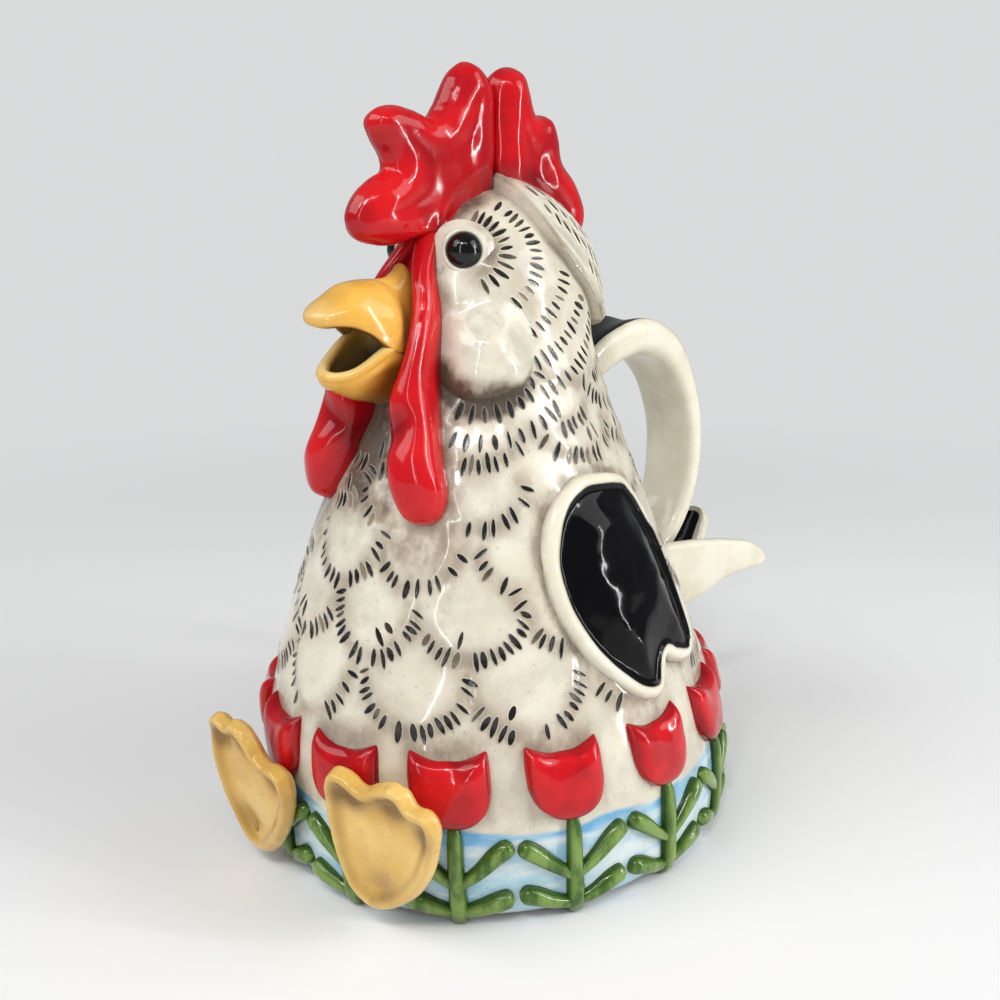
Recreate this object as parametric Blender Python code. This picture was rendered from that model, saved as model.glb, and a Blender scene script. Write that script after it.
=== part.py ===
"""Rooster teapot: a glazed pot shaped like a sitting rooster.

Lengths in the constants are millimetres; meshes are written in metres. The bird
faces -Y, its left side is +X, the handle is at +Y and the flat base is at Z = 0.
"""
import math

import bpy
import bmesh
from mathutils import Vector

MM = 0.001

# Body stations: height, half width, half depth, centre Y.
BODY_STATIONS = [
    (0.0, 71.5, 80.5, -1.0),
    (3.0, 74.4, 83.4, -1.3),
    (9.0, 75.6, 84.6, -1.7),
    (30.0, 75.5, 84.5, -2.5),
    (52.0, 72.5, 81.0, -6.0),
    (80.0, 63.5, 71.0, -8.0),
    (108.0, 54.0, 60.5, -9.0),
    (135.0, 44.0, 49.0, -9.0),
    (158.0, 35.5, 39.5, -8.0),
    (178.0, 31.0, 36.0, -7.0),
    (188.0, 29.5, 35.5, -6.5),
    (198.0, 25.5, 32.5, -6.0),
    (206.0, 19.5, 26.5, -5.5),
    (212.0, 13.0, 19.0, -5.0),
    (216.0, 6.5, 10.0, -5.0),
]
BODY_TOP = 217.6
BODY_TOP_Y = -5.0
WALL = 4.6
FLOOR = 6.5
GAP = 0.35

# Lid: seam line in the side view, lift direction, lip and locating flange.
SEAM_LINE = [
    (-7.2, 232.0), (-7.2, 214.0), (-4.0, 201.0), (4.0, 191.0), (14.0, 182.0), (23.0, 175.0), (60.0, 160.0),
]
LIFT_DIR = (0.0, 0.766, 0.643)
LID_PROUD = 4.2
LID_WALL = 6.6
FLANGE_OUTER = -6.2
FLANGE_INNER = -9.4
FLANGE_DEPTH = 5.0

# Ring of flowers round the base.
TULIP_COUNT = 14
FOOT_CLEARANCE = 0.3
TULIP_LOW = 33.0
TULIP_HIGH = 58.0
TULIP_HALF = 12.0
TULIP_THICK = 4.2
STEM_HALF = 2.5
LEAF_HALF = 2.4

# Red straps and wattles: elliptic angle, height, half width, thickness.
WATTLE_LINE = [
    (12.0, 200.4, 2.4, 2.6),
    (12.2, 197.6, 2.7, 6.0),
    (15.2, 192.0, 2.8, 9.4),
    (19.2, 184.0, 2.9, 11.4),
    (20.0, 171.0, 3.0, 13.4),
    (19.6, 161.0, 3.4, 15.2),
    (20.0, 150.0, 5.4, 16.0),
    (23.0, 139.0, 6.8, 13.8),
    (26.4, 130.0, 7.8, 11.4),
    (28.2, 124.2, 6.6, 7.8),
    (28.6, 120.6, 3.2, 3.4),
]

# Beak stations: Y, ridge or keel height, edge height, half width.
UPPER_BEAK = [
    (-34.0, 195.6, 172.8, 7.4),
    (-46.0, 194.6, 172.8, 7.6),
    (-52.0, 192.6, 172.8, 9.6),
    (-56.5, 190.9, 173.2, 11.2),
    (-60.5, 190.3, 175.6, 11.5),
    (-66.0, 189.2, 177.3, 11.0),
    (-73.0, 187.0, 178.0, 9.0),
    (-77.5, 184.8, 178.8, 6.0),
    (-79.4, 183.0, 179.8, 2.8),
]
LOWER_BEAK = [
    (-34.0, 151.0, 172.4, 7.4),
    (-46.0, 152.2, 172.4, 7.6),
    (-52.0, 153.0, 172.4, 8.4),
    (-56.5, 153.8, 171.6, 10.8),
    (-60.5, 154.8, 168.8, 11.0),
    (-66.0, 156.2, 165.8, 10.2),
    (-72.0, 158.6, 163.6, 7.0),
    (-75.2, 160.4, 162.6, 3.0),
]
BEAK_WALL = 3.6
SPOUT_HALF_X = 5.6
SPOUT_HALF_Z = 10.5
SPOUT_Z = 172.0

# Comb outlines in the side view (Y, Z) and half thickness.
FRONT_COMB = [
    (-61.5, 203.4), (-56.0, 201.4), (-48.0, 201.0), (-39.0, 202.8), (-30.0, 202.0), (-18.0, 204.0),
    (-8.6, 208.0), (-7.8, 218.0), (-7.6, 232.0), (-7.6, 245.0), (-11.0, 251.3), (-17.5, 254.1),
    (-23.4, 250.1),
    (-28.6, 241.6), (-33.0, 237.0), (-39.0, 238.6), (-46.2, 239.7), (-52.4, 238.3), (-54.8, 234.9),
    (-53.0, 230.1), (-49.6, 225.3), (-49.4, 221.9), (-54.6, 219.2), (-60.0, 214.8), (-63.2, 209.3),
]
REAR_COMB = [
    (-6.0, 221.0), (-6.4, 234.0), (-6.6, 246.0), (-4.4, 252.4), (0.8, 255.0), (5.6, 253.6), (8.2, 248.0),
    (11.0, 241.0), (18.6, 240.0), (22.8, 233.6), (24.4, 226.8), (30.2, 221.0), (35.0, 214.3), (35.8, 208.8),
    (32.6, 202.6), (24.0, 200.0), (12.0, 206.0), (0.0, 212.0),
]
COMB_HALF = 6.4

# Wing rows: height, elliptic angle of the front edge and of the rear edge.
WING_ROWS = [
    (131.5, 83.0, 99.0),
    (129.0, 73.0, 108.0),
    (121.0, 65.5, 113.5),
    (107.0, 65.0, 116.0),
    (93.0, 68.0, 117.5),
    (79.0, 74.0, 117.5),
    (68.0, 82.0, 115.5),
]
WING_TIP_ROW = [
    (86.5, 63.2), (88.5, 62.0), (91.0, 61.2), (95.0, 62.0), (99.5, 70.0),
    (105.5, 66.6), (109.5, 66.0), (112.0, 67.0), (113.6, 68.6),
]
WING_ACROSS = [-1.0, -0.86, -0.70, -0.35, 0.0, 0.35, 0.70, 0.86, 1.0]
WING_LIFT = [1.6, 3.8, 2.2, 2.5, 2.6, 2.5, 2.2, 3.8, 1.6]

# Handle centre line (Y, Z), half width and half thickness.
HANDLE_LINE = [
    (20.0, 147.0, 13.0, 7.0),
    (30.0, 154.5, 13.5, 7.2),
    (44.0, 162.5, 13.8, 7.6),
    (62.0, 166.0, 13.8, 7.8),
    (77.0, 161.0, 13.4, 7.4),
    (87.5, 151.0, 13.0, 6.6),
    (94.5, 138.0, 12.6, 5.8),
    (98.2, 124.0, 12.4, 5.2),
    (98.0, 110.0, 12.2, 5.0),
    (94.5, 96.0, 11.8, 4.8),
    (87.5, 85.0, 11.4, 4.8),
    (77.0, 77.5, 11.0, 5.0),
    (62.0, 74.0, 10.6, 5.2),
]
HANDLE_DISH = 2.6

# Tail feathers: centre line, half width and half thickness.
CENTRE_FEATHER = [
    ((0.0, 60.0, 63.4), 9.0, 3.0),
    ((0.0, 82.0, 63.2), 9.6, 3.0),
    ((0.0, 96.0, 65.4), 9.4, 3.0),
    ((0.0, 107.0, 71.4), 8.4, 2.8),
    ((0.0, 113.6, 80.0), 6.4, 2.6),
    ((0.0, 118.0, 87.0), 3.0, 1.8),
]
SIDE_FEATHER = [
    ((16.0, 54.0, 72.4), 12.2, 3.2),
    ((17.5, 76.0, 71.4), 12.6, 3.2),
    ((20.0, 92.0, 70.0), 11.8, 3.0),
    ((23.0, 106.0, 69.6), 8.8, 2.8),
    ((26.0, 119.0, 68.0), 5.6, 2.4),
    ((28.0, 128.0, 65.0), 2.4, 1.8),
]

# Feet: outline of the upright sole (across, up), thickness and place.
FOOT_OUTLINE = [
    (-10.0, 5.4), (-16.4, 9.0), (-20.0, 16.5), (-22.2, 26.0), (-22.8, 37.0), (-21.4, 46.4), (-17.4, 51.0),
    (-12.0, 50.2), (-7.2, 47.6), (-1.6, 50.4), (4.0, 52.4), (9.2, 51.0), (11.8, 47.2), (15.8, 47.4),
    (19.2, 44.2), (19.2, 37.4), (15.8, 26.4), (9.2, 16.0), (0.6, 8.4), (-5.0, 5.6),
]
FOOT_HALF = 2.9
FOOT_MIDDLE = 28.0
LUG_FRONT = {"left": -87.6, "right": -94.0}

# Each foot: distance from the middle plane, Y, lift, turn, lean and roll in degrees.
# The two feet are not mirror images in the photo, the right one is rolled outwards.
LEFT_FOOT = (39.6, -85.6, 2.6, 11.0, 5.0, 0.0)
RIGHT_FOOT = (25.5, -91.8, 1.6, -2.0, 8.0, 25.0)

# Eyes and cheeks.
EYE_ANGLE = 39.5
EYE_Z = 198.0
EYE_RING = 6.3
EYE_RING_TUBE = 1.4
EYE_BALL = 4.7
CHEEK_ANGLE = 47.0
CHEEK_Z = 168.5
CHEEK_HALF = 13.6
CHEEK_DEPTH = 9.0


for old in list(bpy.data.objects):
    bpy.data.objects.remove(old, do_unlink=True)


def make_material(name, colour, roughness):
    """Return a plain glossy material."""
    mat = bpy.data.materials.new(name)
    mat.use_nodes = True
    shader = mat.node_tree.nodes["Principled BSDF"]
    shader.inputs["Base Color"].default_value = (colour[0], colour[1], colour[2], 1.0)
    shader.inputs["Roughness"].default_value = roughness
    return mat


CREAM = (0.78, 0.74, 0.66)
WHITE = (0.86, 0.84, 0.78)
RED = (0.52, 0.02, 0.03)
YELLOW = (0.72, 0.40, 0.08)
OCHRE = (0.70, 0.47, 0.18)
BLACK = (0.01, 0.01, 0.012)
GREEN = (0.06, 0.19, 0.04)

root = bpy.data.objects.new("rooster_teapot", None)
bpy.context.scene.collection.objects.link(root)
lid_axis = bpy.data.objects.new("lid_lift_axis", None)
lid_axis.location = (0.0, 0.014, 0.190)
lid_axis.parent = root
bpy.context.scene.collection.objects.link(lid_axis)


def add_solid(name, verts, faces, colour=None, roughness=0.2, parent=None):
    """Make one closed mesh object from millimetre points."""
    origin = Vector((0.0, 0.0, 0.0))
    if parent is not None:
        origin = parent.location.copy()
    mesh = bpy.data.meshes.new(name)
    mesh.from_pydata([Vector(v) * MM - origin for v in verts], [], faces)
    bm = bmesh.new()
    bm.from_mesh(mesh)
    bmesh.ops.recalc_face_normals(bm, faces=bm.faces[:])
    bmesh.ops.triangulate(bm, faces=[f for f in bm.faces if len(f.verts) > 4])
    if bm.calc_volume(signed=True) < 0.0:
        bmesh.ops.reverse_faces(bm, faces=bm.faces[:])
    for face in bm.faces:
        face.smooth = True
    bm.to_mesh(mesh)
    bm.free()
    obj = bpy.data.objects.new(name, mesh)
    bpy.context.scene.collection.objects.link(obj)
    if colour is None:
        obj.hide_render = True
        obj.display_type = "WIRE"
    else:
        mesh.materials.append(make_material(name + "_glaze", colour, roughness))
        obj.parent = parent if parent is not None else root
    return obj


def boolean(obj, cutter, operation):
    """Add one exact Boolean step to an object."""
    step = obj.modifiers.new(operation.lower() + "_" + cutter.name, "BOOLEAN")
    step.operation = operation
    step.solver = "EXACT"
    step.object = cutter
    return obj


def section(z):
    """Return half width, half depth and centre Y of the body at a height."""
    rows = BODY_STATIONS
    if z <= rows[0][0]:
        return rows[0][1:]
    for i in range(len(rows) - 1):
        if z <= rows[i + 1][0]:
            break
    else:
        share = max(0.0, (BODY_TOP - z) / (BODY_TOP - rows[-1][0]))
        return (rows[-1][1] * share ** 0.5, rows[-1][2] * share ** 0.5, BODY_TOP_Y)
    low = rows[i]
    high = rows[i + 1]
    before = rows[max(i - 1, 0)]
    after = rows[min(i + 2, len(rows) - 1)]
    span = high[0] - low[0]
    t = (z - low[0]) / span
    out = []
    for k in (1, 2, 3):
        slope_low = (high[k] - before[k]) / (high[0] - before[0]) * span
        slope_high = (after[k] - low[k]) / (after[0] - low[0]) * span
        value = (2 * t ** 3 - 3 * t ** 2 + 1) * low[k] + (t ** 3 - 2 * t ** 2 + t) * slope_low
        value += (-2 * t ** 3 + 3 * t ** 2) * high[k] + (t ** 3 - t ** 2) * slope_high
        out.append(value)
    return tuple(out)


def skin_point(angle, z):
    """Return the body surface point; angle 0 is the front, +90 the bird's left."""
    a, b, cy = section(z)
    return Vector((a * math.sin(angle), cy - b * math.cos(angle), z))


def skin(angle, z, lift):
    """Return a body surface point moved out along the surface normal."""
    here = skin_point(angle, z)
    across = skin_point(angle + 0.01, z) - skin_point(angle - 0.01, z)
    up = skin_point(angle, z + 0.4) - skin_point(angle, max(z - 0.4, 0.0))
    normal = across.cross(up).normalized()
    return here + normal * lift


def skin_solid(name, heights, count, lift, floor=None, colour=None):
    """Make a closed solid following the body surface at one lift."""
    verts = []
    faces = []
    for z in heights:
        for k in range(count):
            angle = 2.0 * math.pi * k / count
            point = skin(angle, z, lift)
            if z == heights[0]:
                point.z = floor if floor is not None else z
            verts.append(point)
    for i in range(len(heights) - 1):
        for k in range(count):
            n = (k + 1) % count
            faces.append((i * count + k, i * count + n, (i + 1) * count + n, (i + 1) * count + k))
    faces.append(tuple(reversed(range(count))))
    verts.append(Vector((0.0, BODY_TOP_Y, BODY_TOP + lift)))
    last = (len(heights) - 1) * count
    for k in range(count):
        faces.append((last + k, last + (k + 1) % count, len(verts) - 1))
    return add_solid(name, verts, faces, colour)


def ring_faces(rings, count):
    """Return faces joining rings of equal size, with both ends closed."""
    faces = []
    for i in range(rings - 1):
        for k in range(count):
            n = (k + 1) % count
            faces.append((i * count + k, i * count + n, (i + 1) * count + n, (i + 1) * count + k))
    faces.append(tuple(range(count)))
    faces.append(tuple((rings - 1) * count + k for k in range(count)))
    return faces


def grid_solid(name, front, back, colour):
    """Make a closed plate from a front and a back grid of points."""
    rows = len(front)
    cols = len(front[0])
    verts = [p for row in front for p in row] + [p for row in back for p in row]
    size = rows * cols
    faces = []
    for i in range(rows - 1):
        for j in range(cols - 1):
            a = i * cols + j
            quad = (a, a + 1, a + cols + 1, a + cols)
            faces.append(quad)
            faces.append(tuple(size + v for v in reversed(quad)))
    edge = [j for j in range(cols)]
    edge += [i * cols + cols - 1 for i in range(1, rows)]
    edge += [(rows - 1) * cols + j for j in range(cols - 2, -1, -1)]
    edge += [i * cols for i in range(rows - 2, 0, -1)]
    for k in range(len(edge)):
        n = edge[(k + 1) % len(edge)]
        faces.append((edge[k], n, size + n, size + edge[k]))
    return add_solid(name, verts, faces, colour)


def skin_ribbon(path, profile):
    """Return rings of a ribbon lying on the body surface.

    The path lists angle in degrees, height, half width and thickness; the
    profile lists place across and share of the thickness.
    """
    verts = []
    for i in range(len(path)):
        angle, z, half, thick = path[i]
        before = path[max(i - 1, 0)]
        after = path[min(i + 1, len(path) - 1)]
        centre = skin(math.radians(angle), z, 0.0)
        along = skin(math.radians(after[0]), after[1], 0.0) - skin(math.radians(before[0]), before[1], 0.0)
        turn_unit = skin_point(math.radians(angle) + 0.02, z) - skin_point(math.radians(angle) - 0.02, z)
        turn = math.radians(angle)
        rise_unit = skin_point(turn, z + 0.5) - skin_point(turn, max(z - 0.5, 0.0))
        turn_len = turn_unit.length / 0.04
        flat_turn = along.dot(turn_unit.normalized())
        flat_rise = along.dot(rise_unit.normalized())
        size = math.hypot(flat_turn, flat_rise)
        across_turn = flat_rise / size
        across_rise = -flat_turn / size
        slope = rise_unit.normalized().z
        for place, share in profile:
            offset = place * half
            angle_here = math.radians(angle) + offset * across_turn / turn_len
            z_here = max(z + offset * across_rise * slope, 0.9)
            point = skin(angle_here, z_here, GAP + share * thick)
            point.z = max(point.z, FOOT_CLEARANCE)
            verts.append(point)
    return verts


HALF_ROUND = [(-0.9, -0.2), (-1.0, 0.2), (-0.86, 0.62), (-0.4, 0.95), (0.4, 0.95), (0.86, 0.62), (1.0, 0.2),
              (0.9, -0.2)]
SMALL_ROUND = [(-1.0, -0.5), (-0.8, 0.6), (0.0, 1.0), (0.8, 0.6), (1.0, -0.5)]


# Body: outer skin, hollow, lid opening and pouring bore.
OUTER_Z = [0.0, 3.0, 9.0, 20.0, 33.0, 46.0, 60.0, 78.0, 98.0, 118.0, 136.0, 150.0, 162.0, 172.0, 181.0]
HEAD_Z = [189.0, 195.0, 201.0, 206.0, 210.0, 213.5, 216.2]
body_shell = skin_solid("body_shell", OUTER_Z + HEAD_Z, 44, 0.0, colour=CREAM)
INNER_Z = [8.0, 14.0, 32.0, 52.0, 76.0, 104.0, 128.0, 148.0, 162.0, 174.0, 184.0]
hollow = skin_solid("hollow", INNER_Z + [192.0, 200.0, 206.0, 211.0, 215.0], 32, -WALL, floor=FLOOR)
cutter_z = [0.0] + OUTER_Z[1:] + HEAD_Z
skin_cutter = skin_solid("skin_cutter", cutter_z, 44, GAP)


def lid_region(name, shift):
    """Make the block behind the seam line, moved along the lift direction."""
    line = [Vector((0.0, y, z)) + Vector(LIFT_DIR) * shift for y, z in SEAM_LINE]
    far = [Vector((0.0, 140.0, 160.0)), Vector((0.0, 140.0, 300.0)), Vector((0.0, line[0].y, 300.0))]
    far[0].z = line[-1].z
    loop = line + far
    verts = [p + Vector((-60.0, 0.0, 0.0)) for p in loop] + [p + Vector((60.0, 0.0, 0.0)) for p in loop]
    count = len(loop)
    return add_solid(name, verts, ring_faces(2, count))


boolean(body_shell, hollow, "DIFFERENCE")
boolean(body_shell, lid_region("lid_opening", 0.0), "DIFFERENCE")

bore_verts = []
for y in (-62.0, -20.0):
    for k in range(20):
        angle = 2.0 * math.pi * k / 20
        bore_verts.append((SPOUT_HALF_X * math.cos(angle), y, SPOUT_Z + SPOUT_HALF_Z * math.sin(angle)))
bore = add_solid("spout_bore", bore_verts, ring_faces(2, 20))
boolean(body_shell, bore, "DIFFERENCE")

# Lid: proud cap, locating flange and hollow inside.
LID_Z = [150.0, 160.0, 168.0, 175.0, 182.0, 189.0, 195.0, 201.0, 206.0, 210.0, 213.5, 216.2]
lid_shell = skin_solid("lid_shell", LID_Z, 36, LID_PROUD, colour=CREAM)
boolean(lid_shell, lid_region("lid_cut", 0.3), "INTERSECT")
flange = skin_solid("flange_block", LID_Z, 36, FLANGE_OUTER)
boolean(flange, lid_region("flange_cut", -FLANGE_DEPTH), "INTERSECT")
boolean(lid_shell, flange, "UNION")
boolean(lid_shell, skin_solid("lid_core", [140.0] + LID_Z, 36, FLANGE_INNER), "DIFFERENCE")
lid_hollow = skin_solid("lid_hollow", [140.0] + LID_Z, 36, LID_PROUD - LID_WALL)
boolean(lid_hollow, lid_region("hollow_cut", 3.4), "INTERSECT")
boolean(lid_shell, lid_hollow, "DIFFERENCE")
lid_cutter = skin_solid("lid_cutter", LID_Z, 36, LID_PROUD + GAP)

# The lid rides on its lift axis.
for obj in (lid_shell,):
    obj.parent = lid_axis
    for vert in obj.data.vertices:
        vert.co -= lid_axis.location


def smooth_loop(points, steps):
    """Return a closed smooth curve through a few hand-chosen points."""
    out = []
    n = len(points)
    for i in range(n):
        p0 = points[i - 1]
        p1 = points[i]
        p2 = points[(i + 1) % n]
        p3 = points[(i + 2) % n]
        for s in range(steps):
            t = s / steps
            row = []
            for k in (0, 1):
                value = 2 * p1[k] + (p2[k] - p0[k]) * t
                value += (2 * p0[k] - 5 * p1[k] + 4 * p2[k] - p3[k]) * t ** 2
                value += (3 * p1[k] - p0[k] - 3 * p2[k] + p3[k]) * t ** 3
                row.append(0.5 * value)
            out.append(tuple(row))
    return out


def inset(points, amount):
    """Move each point of a closed outline inwards."""
    area = 0.0
    n = len(points)
    for i in range(n):
        area += points[i][0] * points[(i + 1) % n][1] - points[(i + 1) % n][0] * points[i][1]
    side = 1.0 if area > 0.0 else -1.0
    out = []
    for i in range(n):
        dx = points[(i + 1) % n][0] - points[i - 1][0]
        dy = points[(i + 1) % n][1] - points[i - 1][1]
        size = math.hypot(dx, dy)
        out.append((points[i][0] - side * amount * dy / size, points[i][1] + side * amount * dx / size))
    return out


def rounded_plate(name, outline, half, place, colour, parent=None, edge=1.0):
    """Make a plate with rolled edges; place maps (u, v, depth) to a point."""
    layers = [
        (-half, 2.6 * edge), (-0.72 * half, 0.8 * edge), (0.0, 0.0), (0.72 * half, 0.8 * edge),
        (half, 2.6 * edge),
    ]
    verts = []
    for depth, amount in layers:
        for u, v in inset(outline, amount):
            verts.append(place(u, v, depth))
    return add_solid(name, verts, ring_faces(len(layers), len(outline)), colour, parent=parent)


def upright(u, v, depth):
    """Place a comb outline in the middle plane of the bird."""
    return Vector((depth, u, v))


front_comb = rounded_plate("front_comb", smooth_loop(FRONT_COMB, 2), COMB_HALF, upright, RED)
boolean(front_comb, skin_cutter, "DIFFERENCE")
rear_comb = rounded_plate("rear_comb", smooth_loop(REAR_COMB, 2), COMB_HALF, upright, RED, parent=lid_axis)
boolean(rear_comb, lid_cutter, "DIFFERENCE")


def beak(name, rows, sign):
    """Loft a hollow half beak; sign +1 is the upper half, -1 the lower."""
    verts = []
    for y, crown, edge, half in rows:
        height = abs(crown - edge)
        wall = min(BEAK_WALL, 0.55 * half, 0.55 * height)
        for k in range(9):
            angle = math.pi * (k / 8.0 - 0.5)
            verts.append((half * math.sin(angle), y, edge + sign * height * math.cos(angle) ** 0.8))
        for k in range(7):
            angle = math.pi * (0.5 - (k + 0.5) / 7.0)
            wide = (half - wall) * math.sin(angle)
            tall = (height - wall) * abs(math.cos(angle)) ** 0.8
            verts.append((wide, y, edge + sign * tall))
    obj = add_solid(name, verts, ring_faces(len(rows), 16), YELLOW)
    boolean(obj, skin_cutter, "DIFFERENCE")
    return obj


upper_beak = beak("upper_beak", UPPER_BEAK, 1.0)
lower_beak = beak("lower_beak", LOWER_BEAK, -1.0)


def dome(name, centre, normal, half_u, half_v, depth, colour):
    """Make a full ellipsoid set on the skin, its short axis along the normal."""
    side = Vector((0.0, 0.0, 1.0)).cross(normal).normalized()
    up = normal.cross(side).normalized()
    verts = [centre - normal * depth]
    rows = 6
    count = 16
    for i in range(1, rows):
        polar = math.pi * i / rows
        for k in range(count):
            angle = 2.0 * math.pi * k / count
            point = side * (half_u * math.sin(polar) * math.cos(angle))
            point += up * (half_v * math.sin(polar) * math.sin(angle))
            verts.append(centre + point - normal * (depth * math.cos(polar)))
    verts.append(centre + normal * depth)
    faces = [(0, 1 + k, 1 + (k + 1) % count) for k in range(count)]
    for i in range(rows - 2):
        for k in range(count):
            n = (k + 1) % count
            base = 1 + i * count
            faces.append((base + k, base + n, base + count + n, base + count + k))
    last = 1 + (rows - 2) * count
    faces += [(last + k, last + (k + 1) % count, len(verts) - 1) for k in range(count)]
    return add_solid(name, verts, faces, colour)


def torus(name, centre, normal, radius, tube, colour):
    """Make a ring set on the skin."""
    side = Vector((0.0, 0.0, 1.0)).cross(normal).normalized()
    up = normal.cross(side).normalized()
    verts = []
    faces = []
    major = 18
    minor = 6
    for i in range(major):
        angle = 2.0 * math.pi * i / major
        out = side * math.cos(angle) + up * math.sin(angle)
        for k in range(minor):
            turn = 2.0 * math.pi * k / minor
            rise = normal * (tube * 1.3 * math.sin(turn))
            verts.append(centre + out * (radius + tube * math.cos(turn)) + rise)
    for i in range(major):
        for k in range(minor):
            a = i * minor + k
            b = i * minor + (k + 1) % minor
            c = ((i + 1) % major) * minor + (k + 1) % minor
            d = ((i + 1) % major) * minor + k
            faces.append((a, b, c, d))
    return add_solid(name, verts, faces, colour)


for side_name, sign in (("left", 1.0), ("right", -1.0)):
    eye_angle = math.radians(EYE_ANGLE * sign)
    eye_foot = skin(eye_angle, EYE_Z, 0.0)
    eye_normal = (skin(eye_angle, EYE_Z, 1.0) - eye_foot).normalized()
    eye_normal = (eye_normal + Vector((0.25 * sign, -0.1, -0.35))).normalized()
    ring_centre = eye_foot + eye_normal * 1.6
    ring = torus(side_name + "_eye_ring", ring_centre, eye_normal, EYE_RING, EYE_RING_TUBE, WHITE)
    boolean(ring, skin_cutter, "DIFFERENCE")
    ball_centre = eye_foot + eye_normal * 0.6
    ball = dome(side_name + "_eyeball", ball_centre, eye_normal, EYE_BALL, EYE_BALL, 4.6, BLACK)
    boolean(ball, skin_cutter, "DIFFERENCE")

    # Strap and wattle in one piece, and the cheek beside it.
    line = [(a * sign, z, half, thick) for a, z, half, thick in WATTLE_LINE]
    wattle_verts = skin_ribbon(line, HALF_ROUND)
    wattle = add_solid(side_name + "_wattle", wattle_verts, ring_faces(len(line), len(HALF_ROUND)), RED)
    boolean(wattle, skin_cutter, "DIFFERENCE")
    wide = [(a * sign, z, half + 0.4, thick + 0.4) for a, z, half, thick in WATTLE_LINE]
    wattle_cutter = add_solid(
        side_name + "_wattle_cutter", skin_ribbon(wide, HALF_ROUND), ring_faces(len(line), len(HALF_ROUND)))
    cheek_angle = math.radians(CHEEK_ANGLE * sign)
    cheek_foot = skin(cheek_angle, CHEEK_Z, 0.0)
    cheek_normal = (skin(cheek_angle, CHEEK_Z, 1.0) - cheek_foot).normalized()
    cheek = dome(side_name + "_cheek", cheek_foot, cheek_normal, CHEEK_HALF, CHEEK_HALF, CHEEK_DEPTH, WHITE)
    boolean(cheek, skin_cutter, "DIFFERENCE")
    boolean(cheek, wattle_cutter, "DIFFERENCE")

    # Wing: a plate on the skin with a raised rim and a forked tip.
    front = []
    back = []
    for z, edge_front, edge_back in WING_ROWS:
        front_row = []
        back_row = []
        for place, lift in zip(WING_ACROSS, WING_LIFT):
            angle = math.radians(edge_front + (edge_back - edge_front) * 0.5 * (place + 1.0)) * sign
            end = lift if z < WING_ROWS[0][0] else min(lift, 2.4)
            front_row.append(skin(angle, z, GAP + end))
            back_row.append(skin(angle, z, GAP))
        front.append(front_row)
        back.append(back_row)
    front.append([skin(math.radians(a) * sign, z, GAP + 2.2) for a, z in WING_TIP_ROW])
    back.append([skin(math.radians(a) * sign, z, GAP) for a, z in WING_TIP_ROW])
    grid_solid(side_name + "_wing", front, back, BLACK)

    # Foot: upright sole plate with three toes and a lug back to the body.
    def foot_place(u, v, depth, sign=sign):
        """Map sole coordinates to the pot frame."""
        foot_x, foot_y, rise, turn, lean, roll = LEFT_FOOT if sign > 0.0 else RIGHT_FOOT
        turn = math.radians(turn)
        roll = math.radians(roll)
        dish = 1.6 * max(0.0, 1.0 - ((u + 3.0) / 17.0) ** 2 - ((v - 28.0) / 20.0) ** 2)
        out = depth - (dish if depth > 0.0 else 0.0)
        across = u * math.cos(roll) - (v - FOOT_MIDDLE) * math.sin(roll)
        up = FOOT_MIDDLE + u * math.sin(roll) + (v - FOOT_MIDDLE) * math.cos(roll)
        x = foot_x + across * math.cos(turn) + out * math.sin(turn)
        y = foot_y + across * math.sin(turn) - out * math.cos(turn) - up * math.tan(math.radians(lean))
        return Vector((sign * x, y, up + rise))

    sole = smooth_loop(FOOT_OUTLINE, 2)
    foot = rounded_plate(side_name + "_foot", sole, FOOT_HALF, foot_place, OCHRE, edge=0.7)
    lug_verts = []
    for y in (LUG_FRONT[side_name], -70.0):
        for k in range(12):
            angle = 2.0 * math.pi * k / 12
            lug_verts.append((sign * (29.0 + 5.0 * math.cos(angle)), y, 16.0 + 8.0 * math.sin(angle)))
    lug = add_solid(side_name + "_foot_lug", lug_verts, ring_faces(2, 12))
    boolean(foot, lug, "UNION")
    boolean(foot, skin_cutter, "DIFFERENCE")


def sweep(name, centres, sides, halves, thicks, profile, colour):
    """Loft a profile along a line; profile lists place across and depth."""
    verts = []
    for i in range(len(centres)):
        along = (centres[min(i + 1, len(centres) - 1)] - centres[max(i - 1, 0)]).normalized()
        across = sides[i] - along * sides[i].dot(along)
        across.normalize()
        out = across.cross(along).normalized()
        for place, depth in profile:
            verts.append(centres[i] + across * (place * halves[i]) + out * (depth * thicks[i]))
    obj = add_solid(name, verts, ring_faces(len(centres), len(profile)), colour)
    boolean(obj, skin_cutter, "DIFFERENCE")
    return obj


DISH = 1.0 - HANDLE_DISH / 5.0
STRAP = [(-1.0, -0.1), (-0.94, 0.8), (-0.76, 1.0), (-0.5, DISH + 0.1), (0.0, DISH - 0.1), (0.5, DISH + 0.1),
         (0.76, 1.0), (0.94, 0.8), (1.0, -0.1), (0.8, -0.8), (0.0, -1.0), (-0.8, -0.8)]
handle_centres = [Vector((0.0, y, z)) for y, z, _, _ in HANDLE_LINE]
handle_sides = [Vector((1.0, 0.0, 0.0)) for _ in HANDLE_LINE]
handle_halves = [row[2] for row in HANDLE_LINE]
handle_thicks = [row[3] for row in HANDLE_LINE]
handle = sweep("handle", handle_centres, handle_sides, handle_halves, handle_thicks, STRAP, WHITE)

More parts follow.
